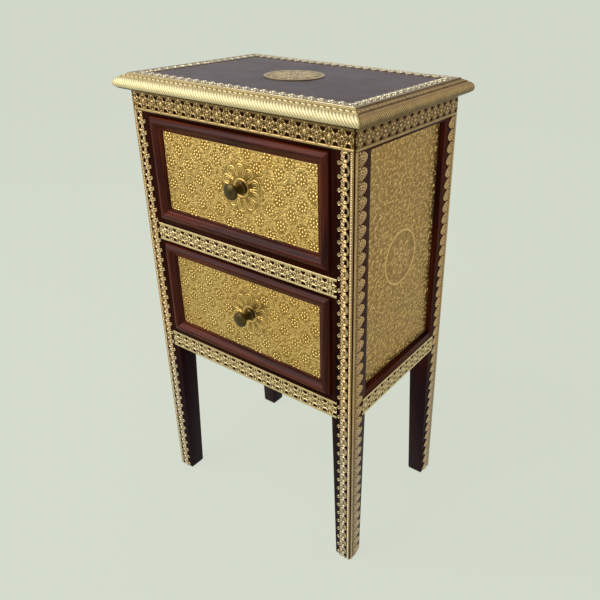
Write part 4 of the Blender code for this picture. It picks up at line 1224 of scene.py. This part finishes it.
class CABINET_OT_top_edges(bpy.types.Operator):
    """Make the fluted brass edge and lace border of the top, in four mitred lengths"""
    bl_idname = "cabinet.top_edges"
    bl_label = "Top edges"

    def execute(self, context):
        ornament = context.scene.cabinet_ornament
        low, high = corners("top_board")
        frame_low, _ = corners("post_front_left")
        _, frame_high = corners("post_back_right")
        middle = (frame_low + frame_high) / 2
        half = (frame_high - frame_low) / 2
        top_up = (high.z - low.z) / MM + EDGE.proud
        for name, outward in TOP_EDGES.items():
            along_x = name in ("front", "back")
            half_run = half.x if along_x else half.y
            face = half.y + middle.y * outward.y if along_x else half.x
            # The front edge takes the paler edge brass, a painted highlight, and the other edges the darker
            # side edge brass, painted shade.
            finish, flute, style = "side_edge", EDGE.side_flute, SIDE_STYLE
            if name == "front":
                finish, flute, style = "edge", ornament.flute_pitch / MM, FRONT_STYLE
            bend = EdgeBend(outward, half_run / MM, face / MM, low.z / MM, top_up, flute, style)
            bm = brass_sheet(bend.reach, (EDGE.grid, bend.length / EDGE.rows), bend.relief, bend.place,
                             depth=EDGE.depth, bent=True)
            lace = LaceBorder(bend, ornament.lace_pitch / MM)
            border = brass_sheet(lace.reach, (LACE.grid, LACE.grid), lace.relief, lace.place, lace.cut,
                                 LACE.depth)
            for part in border.faces:
                part.material_index = 1
            join(bm, border)
            if not along_x:
                bmesh.ops.translate(bm, vec=(0, middle.y, 0), verts=bm.verts[:])
            node = f"top_edge_brass_{name}"
            add_piece(f"fluted_{node}", bm, [finish, "lace"], "cabinet", node)
        return {"FINISHED"}


# Medallion
MEDALLION = Sizes(thick=0.5, inside=1.8, grid=0.65, petals=12, petal_root=17.0, petal_tip=30.0,
                  petal_line=4.2, petal_ridge=(1.1, 0.8), rib=(1.5, 0.75), rim_in=1.3, rim=(1.2, 0.45),
                  line_in=5.0, line=(1.0, 0.45), ring=9.5, ring_ridge=(1.3, 0.8), eye=(4.5, 0.8), uneven=0.06)


class Medallion:
    """A raised rim, a ring of petals and a central flower."""

    def __init__(self, reach):
        self.radius = reach[0] - MEDALLION.inside

    def cut(self, u, v):
        return np.hypot(u, v) - self.radius

    def relief(self, u, v):
        from_middle = np.hypot(u, v)
        out, side = in_petal(u, v, MEDALLION.petals)
        petal = to_segment(out, side, (MEDALLION.petal_root, 0), (MEDALLION.petal_tip, 0))
        height = highest(raised(from_middle - self.radius + MEDALLION.rim_in, *MEDALLION.rim),
                         raised(from_middle - self.radius + MEDALLION.line_in, *MEDALLION.line),
                         raised(petal - MEDALLION.petal_line, *MEDALLION.petal_ridge),
                         raised(petal, *MEDALLION.rib),
                         raised(from_middle - MEDALLION.ring, *MEDALLION.ring_ridge),
                         raised(from_middle, *MEDALLION.eye), np.zeros_like(u))
        return height + MEDALLION.uneven * hammered(u, v)


class CABINET_OT_medallion(bpy.types.Operator):
    """Make the embossed medallion in the middle of the top"""
    bl_idname = "cabinet.medallion"
    bl_label = "Top medallion"

    def execute(self, context):
        node = "top_medallion"
        reach, on_face = seat(node, UPWARDS)
        low, high = corners(node)
        drop = (high.z - low.z) / MM - MEDALLION.thick
        drawn = Medallion(reach)
        bm = brass_sheet(reach, (MEDALLION.grid, MEDALLION.grid), drawn.relief,
                         lambda u, v, height: on_face(u, v, height - drop), drawn.cut)
        add_piece(f"embossed_{node}", bm, ["strip"], "cabinet", node)
        return {"FINISHED"}


# Woodwork
FOOT_SIZE = 27 * MM
FOOT_ROUND = (1.7 * MM, 2.6 * MM)
ARRIS = 0.7 * MM
SHARP_EDGE = 0.5
FACING = 0.7
CROSS_RAILS = ("front_top_rail", "front_mid_rail", "front_bottom_rail", "back_top_rail", "back_bottom_rail")
SIDE_RAILS = ("left_top_rail", "left_bottom_rail", "right_top_rail", "right_bottom_rail")


def divide(bm, height):
    """Add edges where a level plane cuts a bmesh."""
    bmesh.ops.bisect_plane(bm, geom=bm.verts[:] + bm.edges[:] + bm.faces[:], dist=MERGE,
                           plane_co=(0, 0, height), plane_no=UPWARDS)


class CABINET_OT_posts(bpy.types.Operator):
    """Make the four posts that taper below the rails"""
    bl_idname = "cabinet.posts"
    bl_label = "Posts"

    def execute(self, context):
        leg_height = corners("front_bottom_rail")[0].z
        for end_name, end in ENDS:
            for side_name, side in SIDES:
                node = f"post_{end_name}_{side_name}"
                low, high = corners(node)
                middle = (low + high) / 2
                taper = high.x - low.x - FOOT_SIZE
                bm = block(low, high)
                divide(bm, leg_height)
                sole = [vert for vert in bm.verts if vert.co.z < low.z + MM]
                for vert in sole:
                    vert.co.x += side * taper * (side * (vert.co.x - middle.x) < 0)
                    vert.co.y += end * taper * (end * (vert.co.y - middle.y) < 0)
                divide(bm, low.z + FOOT_ROUND[1])
                sole = [vert for vert in bm.verts if vert.co.z < low.z + MM]
                centre = sum((vert.co for vert in sole), Vector()) / len(sole)
                for vert in sole:
                    vert.co.x -= math.copysign(FOOT_ROUND[0], vert.co.x - centre.x)
                    vert.co.y -= math.copysign(FOOT_ROUND[0], vert.co.y - centre.y)
                soften(bm, [edge for edge in bm.edges if edge.calc_face_angle(0) > SHARP_EDGE], ARRIS)
                # The outer side faces and the back posts' faces beside the side panels take the lighter side
                # wood as painted light, and the other faces take the darker wood as painted shade.
                for face in bm.faces:
                    outer_side = side * face.normal.x > FACING
                    behind_panel = end > 0 and face.normal.y < -FACING
                    face.material_index = int(outer_side or behind_panel)
                add_piece(f"polished_{node}", bm, ["wood_z", "side_z"], "cabinet", node)
        return {"FINISHED"}


class CABINET_OT_rails(bpy.types.Operator):
    """Make the rails between the posts"""
    bl_idname = "cabinet.rails"
    bl_label = "Rails"

    def execute(self, context):
        _, start = corners("post_front_left")
        stop = Vector((corners("post_front_right")[0].x, corners("post_back_left")[0].y, 0))
        # The cross rails take the darker wood as painted shade, and the side rails the lighter side wood as
        # painted light.
        for axis, finish, rails in ((0, "wood_x", CROSS_RAILS), (1, "side_y", SIDE_RAILS)):
            for node in rails:
                low, high = corners(node)
                low[axis] = start[axis] + SEAT_GAP
                high[axis] = stop[axis] - SEAT_GAP
                bm = block(low, high)
                soften(bm, bm.edges[:], ARRIS)
                add_piece(f"polished_{node}", bm, [finish], "cabinet", node)
        return {"FINISHED"}


class CABINET_OT_plain_parts(bpy.types.Operator):
    """Finish the nodes whose plain shape is right: top board, panels, runners and drawer boxes"""
    bl_idname = "cabinet.plain_parts"
    bl_label = "Plain parts"

    def execute(self, context):
        # The side panels take the lighter side wood as painted light, and the drawer fronts the darker wood
        # as painted shade.
        dress("top_board", "wood_top")
        dress("back_panel", "bare_z")
        for side_name, _ in SIDES:
            dress(f"{side_name}_side_panel", "side_z")
            for level in LEVELS:
                dress(f"{level}_{side_name}_runner", "bare_y")
                dress(f"{level}_drawer_{side_name}_side", "bare_y")
        for level in LEVELS:
            dress(f"{level}_drawer_front", "wood_x")
            dress(f"{level}_drawer_back", "bare_x")
            dress(f"{level}_drawer_bottom", "bare_x")
            dress(f"{level}_drawer_knob_screw", "steel")
        return {"FINISHED"}


# Drawer mouldings. In is measured from the outer edge of the frame and out from the face of the posts
MOULDING = Sizes(width=18.0, edge=3.2, edge_fall=0.6, edge_in=0.25, crest=7.5, crest_in=7.2, slope_end=15.9,
                 slope_foot=0.15, lip=1.2, step=1.0, arris=0.3, steps=9)


def moulding_section(back):
    """Points (in, out) from the outer edge over the crest to the inner step."""
    shares = np.arange(MOULDING.steps + 1) / MOULDING.steps
    points = [(0, back), (0, MOULDING.edge - MOULDING.edge_fall)]
    for share in shares:
        points.append((MOULDING.edge_in + (MOULDING.crest_in - MOULDING.edge_in) * share,
                       MOULDING.edge + (MOULDING.crest - MOULDING.edge) * math.sin(share * math.pi / 2)))
    for share in shares[1:]:
        fall = (1 + math.cos(share * math.pi)) / 2
        points.append((MOULDING.crest_in + (MOULDING.slope_end - MOULDING.crest_in) * share,
                       MOULDING.lip + (MOULDING.crest - MOULDING.lip) * fall))
    inner = MOULDING.lip - MOULDING.step
    points += [(MOULDING.slope_end + MOULDING.slope_foot, inner), (MOULDING.width - MOULDING.arris, inner),
               (MOULDING.width, inner - MOULDING.arris), (MOULDING.width, back)]
    return np.array(points) * MM


class CABINET_OT_mouldings(bpy.types.Operator):
    """Make the mitred moulded frames of the drawer fronts"""
    bl_idname = "cabinet.mouldings"
    bl_label = "Drawer mouldings"

    def execute(self, context):
        face, _ = corners("post_front_left")
        signs = ((-1, -1), (1, -1), (1, 1), (-1, 1))
        for level in LEVELS:
            node = f"{level}_drawer_moulding"
            low, high = corners(node)
            middle = (low + high) / 2
            half = (high - low) / 2
            bm = bmesh.new()
            loop = [bm.verts.new((x, high.y, z)) for x, z in signs]
            ring = [bm.edges.new((loop[index - 1], loop[index])) for index in range(4)]
            for index, (inward, out) in enumerate(moulding_section((face.y - high.y) / MM)):
                if index:
                    made = bmesh.ops.extrude_edge_only(bm, edges=ring)["geom"]
                    new = of_kind(made, bmesh.types.BMVert)
                    loop = [next(vert for vert in new
                                 if any(edge.other_vert(vert) is old for edge in vert.link_edges))
                            for old in loop]
                    ring = [edge for edge in of_kind(made, bmesh.types.BMEdge)
                            if all(vert in loop for vert in edge.verts)]
                for vert, (sign_x, sign_z) in zip(loop, signs):
                    vert.co = (middle.x + sign_x * (half.x - inward), face.y - out,
                               middle.z + sign_z * (half.z - inward))
            bmesh.ops.bridge_loops(bm, edges=[edge for edge in bm.edges if edge.is_boundary])
            face_outwards(bm)
            for part in bm.faces:
                centre = part.calc_center_median() - middle
                part.material_index = int(abs(centre.x) / half.x > abs(centre.z) / half.z)
            add_piece(f"moulded_{node}", bm, ["moulding_x", "moulding_z"], f"{level}_drawer", node,
                      smooth_up_to=30)
        return {"FINISHED"}


# Knobs as radius and height, in the foot and waist, and as inset from the disc's edge and height, in the disc
KNOB_STEPS = 56
KNOB_WAIST = ((0.0, 0.0), (8.7, 0.0), (9.0, 0.5), (8.9, 1.6), (8.2, 2.5), (7.5, 2.9), (7.2, 3.8), (7.0, 5.0),
              (6.5, 6.6), (6.1, 8.4), (6.0, 10.4), (6.2, 12.2), (6.9, 13.8), (7.2, 14.6), (7.0, 15.4),
              (9.0, 16.6))
KNOB_DISC = ((0.7, 17.6), (0.1, 18.3), (0.0, 19.3), (0.2, 20.4), (0.8, 21.2), (1.7, 21.5), (2.2, 21.9),
             (4.4, 22.9))
KNOB_CROWN = (7.4, 0.35)


def knob_profile(disc, projection):
    """Points (radius, height) of a flanged foot, a ringed waist and a domed disc."""
    points = [*KNOB_WAIST, *((disc - inset, height) for inset, height in KNOB_DISC),
              (disc - KNOB_CROWN[0], projection - KNOB_CROWN[1]), (0.0, projection)]
    return np.array(points) * MM


class CABINET_OT_knobs(bpy.types.Operator):
    """Turn the two bronze knobs"""
    bl_idname = "cabinet.knobs"
    bl_label = "Knobs"

    def execute(self, context):
        for level in LEVELS:
            node = f"{level}_drawer_knob"
            low, high = corners(node)
            middle = (low + high) / 2
            profile = knob_profile((high.z - low.z) / 2 / MM, (high.y - low.y) / MM)
            bm = bmesh.new()
            verts = [bm.verts.new((radius, 0, height)) for radius, height in profile]
            edges = [bm.edges.new(pair) for pair in zip(verts, verts[1:])]
            bmesh.ops.spin(bm, geom=verts + edges, cent=(0, 0, 0), axis=UPWARDS, angle=math.tau,
                           steps=KNOB_STEPS, use_merge=True)
            bmesh.ops.remove_doubles(bm, verts=bm.verts[:], dist=MERGE)
            face_outwards(bm)
            turn = Matrix.Translation((middle.x, high.y, middle.z)) @ Matrix.Rotation(math.pi / 2, 4, "X")
            bmesh.ops.transform(bm, matrix=turn, verts=bm.verts[:])
            add_piece(f"turned_{node}", bm, ["bronze"], f"{level}_drawer", node,
                      smooth_up_to=50)
        return {"FINISHED"}


# Stage. The lights are given as place, size and tint
FLOOR_HALF = 30.0
LIGHT_TARGET = Vector((0, 0, 0.45))
STUDIO_LIGHTS = {"key": ((-0.95, -1.44, 1.85), (1.8, 2.4), (1.0, 0.98, 0.95)),
                 "back": ((-1.29, 1.56, 1.58), (2.4, 1.6), (0.97, 0.95, 1.0)),
                 "fill": ((1.6, 0.9, 0.8), (1.2, 1.8), (1.0, 0.99, 0.97))}
SKY_TINT = (0.93, 0.95, 1.0, 1.0)
SENSOR = 36.0


def floor_finish(stage):
    """Pale floor that shows its colour to the eye and to reflections, with a soft shadow."""
    finish = Finish("pale_floor", {"Roughness": 0.9})
    speck = finish.noise(3.0, 2.0)
    tint = finish.mix(speck * 0.03, stage.floor_colour, tinted(stage.floor_colour, 0.96))
    finish.feed(finish.shader, {"Base Color": tint})
    glow = finish.node("ShaderNodeEmission", None, {"Color": tint, "Strength": 1.0})
    path = finish.node("ShaderNodeLightPath")
    eye, gloss, glass = (Value(finish, path.outputs[f"Is {kind} Ray"])
                         for kind in ("Camera", "Glossy", "Transmission"))
    seen = (eye + gloss + glass).between(0.0, 1.0)
    both = finish.node("ShaderNodeMixShader", None,
                       {0: seen * 0.92, 1: finish.shader.outputs[0], 2: glow.outputs[0]})
    output = next(node for node in finish.tree.nodes if node.type == "OUTPUT_MATERIAL")
    finish.feed(output, {"Surface": both.outputs[0]})
    return finish.material


def add_floor(scene, stage):
    bm = bmesh.new()
    bmesh.ops.create_grid(bm, x_segments=1, y_segments=1, size=FLOOR_HALF)
    mesh = bpy.data.meshes.new("floor")
    bm.to_mesh(mesh)
    bm.free()
    mesh.materials.append(floor_finish(stage))
    floor = bpy.data.objects.new("floor", mesh)
    scene.collection.objects.link(floor)


def add_light(scene, stage):
    """Even light from the world, and soft rectangular lights."""
    scene.world = bpy.data.worlds.new("studio")
    scene.world.use_nodes = True
    background = scene.world.node_tree.nodes["Background"]
    background.inputs["Color"].default_value = SKY_TINT
    background.inputs["Strength"].default_value = stage.sky
    for name, (place, size, tint) in STUDIO_LIGHTS.items():
        light = bpy.data.lights.new(f"{name}_light", "AREA")
        light.shape = "RECTANGLE"
        light.size, light.size_y = size
        light.energy = getattr(stage, name)
        light.color = tint
        lamp = bpy.data.objects.new(f"{name}_light", light)
        lamp.location = place
        lamp.rotation_euler = (LIGHT_TARGET - lamp.location).to_track_quat("-Z", "Y").to_euler()
        lamp.visible_camera = False
        scene.collection.objects.link(lamp)


def add_camera(scene, stage):
    azimuth, elevation, roll = stage.azimuth, stage.elevation, stage.roll
    back = Vector((math.sin(azimuth) * math.cos(elevation), -math.cos(azimuth) * math.cos(elevation),
                   math.sin(elevation)))
    right = Vector((math.cos(azimuth), math.sin(azimuth), 0))
    up = back.cross(right)
    rolled_right = math.cos(roll) * right + math.sin(roll) * up
    rolled_up = math.cos(roll) * up - math.sin(roll) * right
    turn = Matrix((rolled_right, rolled_up, back)).transposed().to_4x4()
    camera = bpy.data.objects.new("camera", bpy.data.cameras.new("camera"))
    camera.data.lens = stage.lens
    camera.data.sensor_width = SENSOR
    camera.data.shift_x, camera.data.shift_y = stage.shift
    camera.data.clip_start = 0.01
    camera.matrix_world = Matrix.Translation(stage.camera_place) @ turn
    scene.collection.objects.link(camera)
    scene.camera = camera


class CABINET_OT_stage(bpy.types.Operator):
    """Set the floor, the light and the camera"""
    bl_idname = "cabinet.stage"
    bl_label = "Stage"

    def execute(self, context):
        scene = context.scene
        for add in (add_floor, add_light, add_camera):
            add(scene, scene.cabinet_stage)
        scene.view_settings.view_transform = "Standard"
        return {"FINISHED"}


OPERATORS = (CABINET_OT_stage, CABINET_OT_posts, CABINET_OT_rails, CABINET_OT_plain_parts,
             CABINET_OT_mouldings, CABINET_OT_knobs, CABINET_OT_drawer_sheets, CABINET_OT_side_sheets,
             CABINET_OT_friezes, CABINET_OT_scroll_strips, CABINET_OT_leaf_strips, CABINET_OT_top_edges,
             CABINET_OT_medallion)
SETTINGS = {"cabinet_finishes": CabinetFinishes, "cabinet_ornament": CabinetOrnament,
            "cabinet_stage": CabinetStage}


class CABINET_PT_build(bpy.types.Panel):
    """Lists the steps that build the cabinet"""
    bl_idname = "CABINET_PT_build"
    bl_label = "Brass-clad cabinet"
    bl_space_type = "VIEW_3D"
    bl_region_type = "UI"
    bl_category = "Cabinet"

    def draw(self, context):
        for operator in OPERATORS:
            self.layout.operator(operator.bl_idname)
        for setting, group in SETTINGS.items():
            box = self.layout.box()
            for name in group.__annotations__:
                box.prop(getattr(context.scene, setting), name)


def register():
    for group in (*SETTINGS.values(), *OPERATORS, CABINET_PT_build):
        bpy.utils.register_class(group)
    for setting, group in SETTINGS.items():
        setattr(bpy.types.Scene, setting, PointerProperty(type=group))


def unregister():
    for setting in SETTINGS:
        delattr(bpy.types.Scene, setting)
    for group in reversed((*SETTINGS.values(), *OPERATORS, CABINET_PT_build)):
        bpy.utils.unregister_class(group)


def main():
    register()
    for operator in OPERATORS:
        group, name = operator.bl_idname.split(".")
        getattr(getattr(bpy.ops, group), name)()


if __name__ == "__main__":
    main()
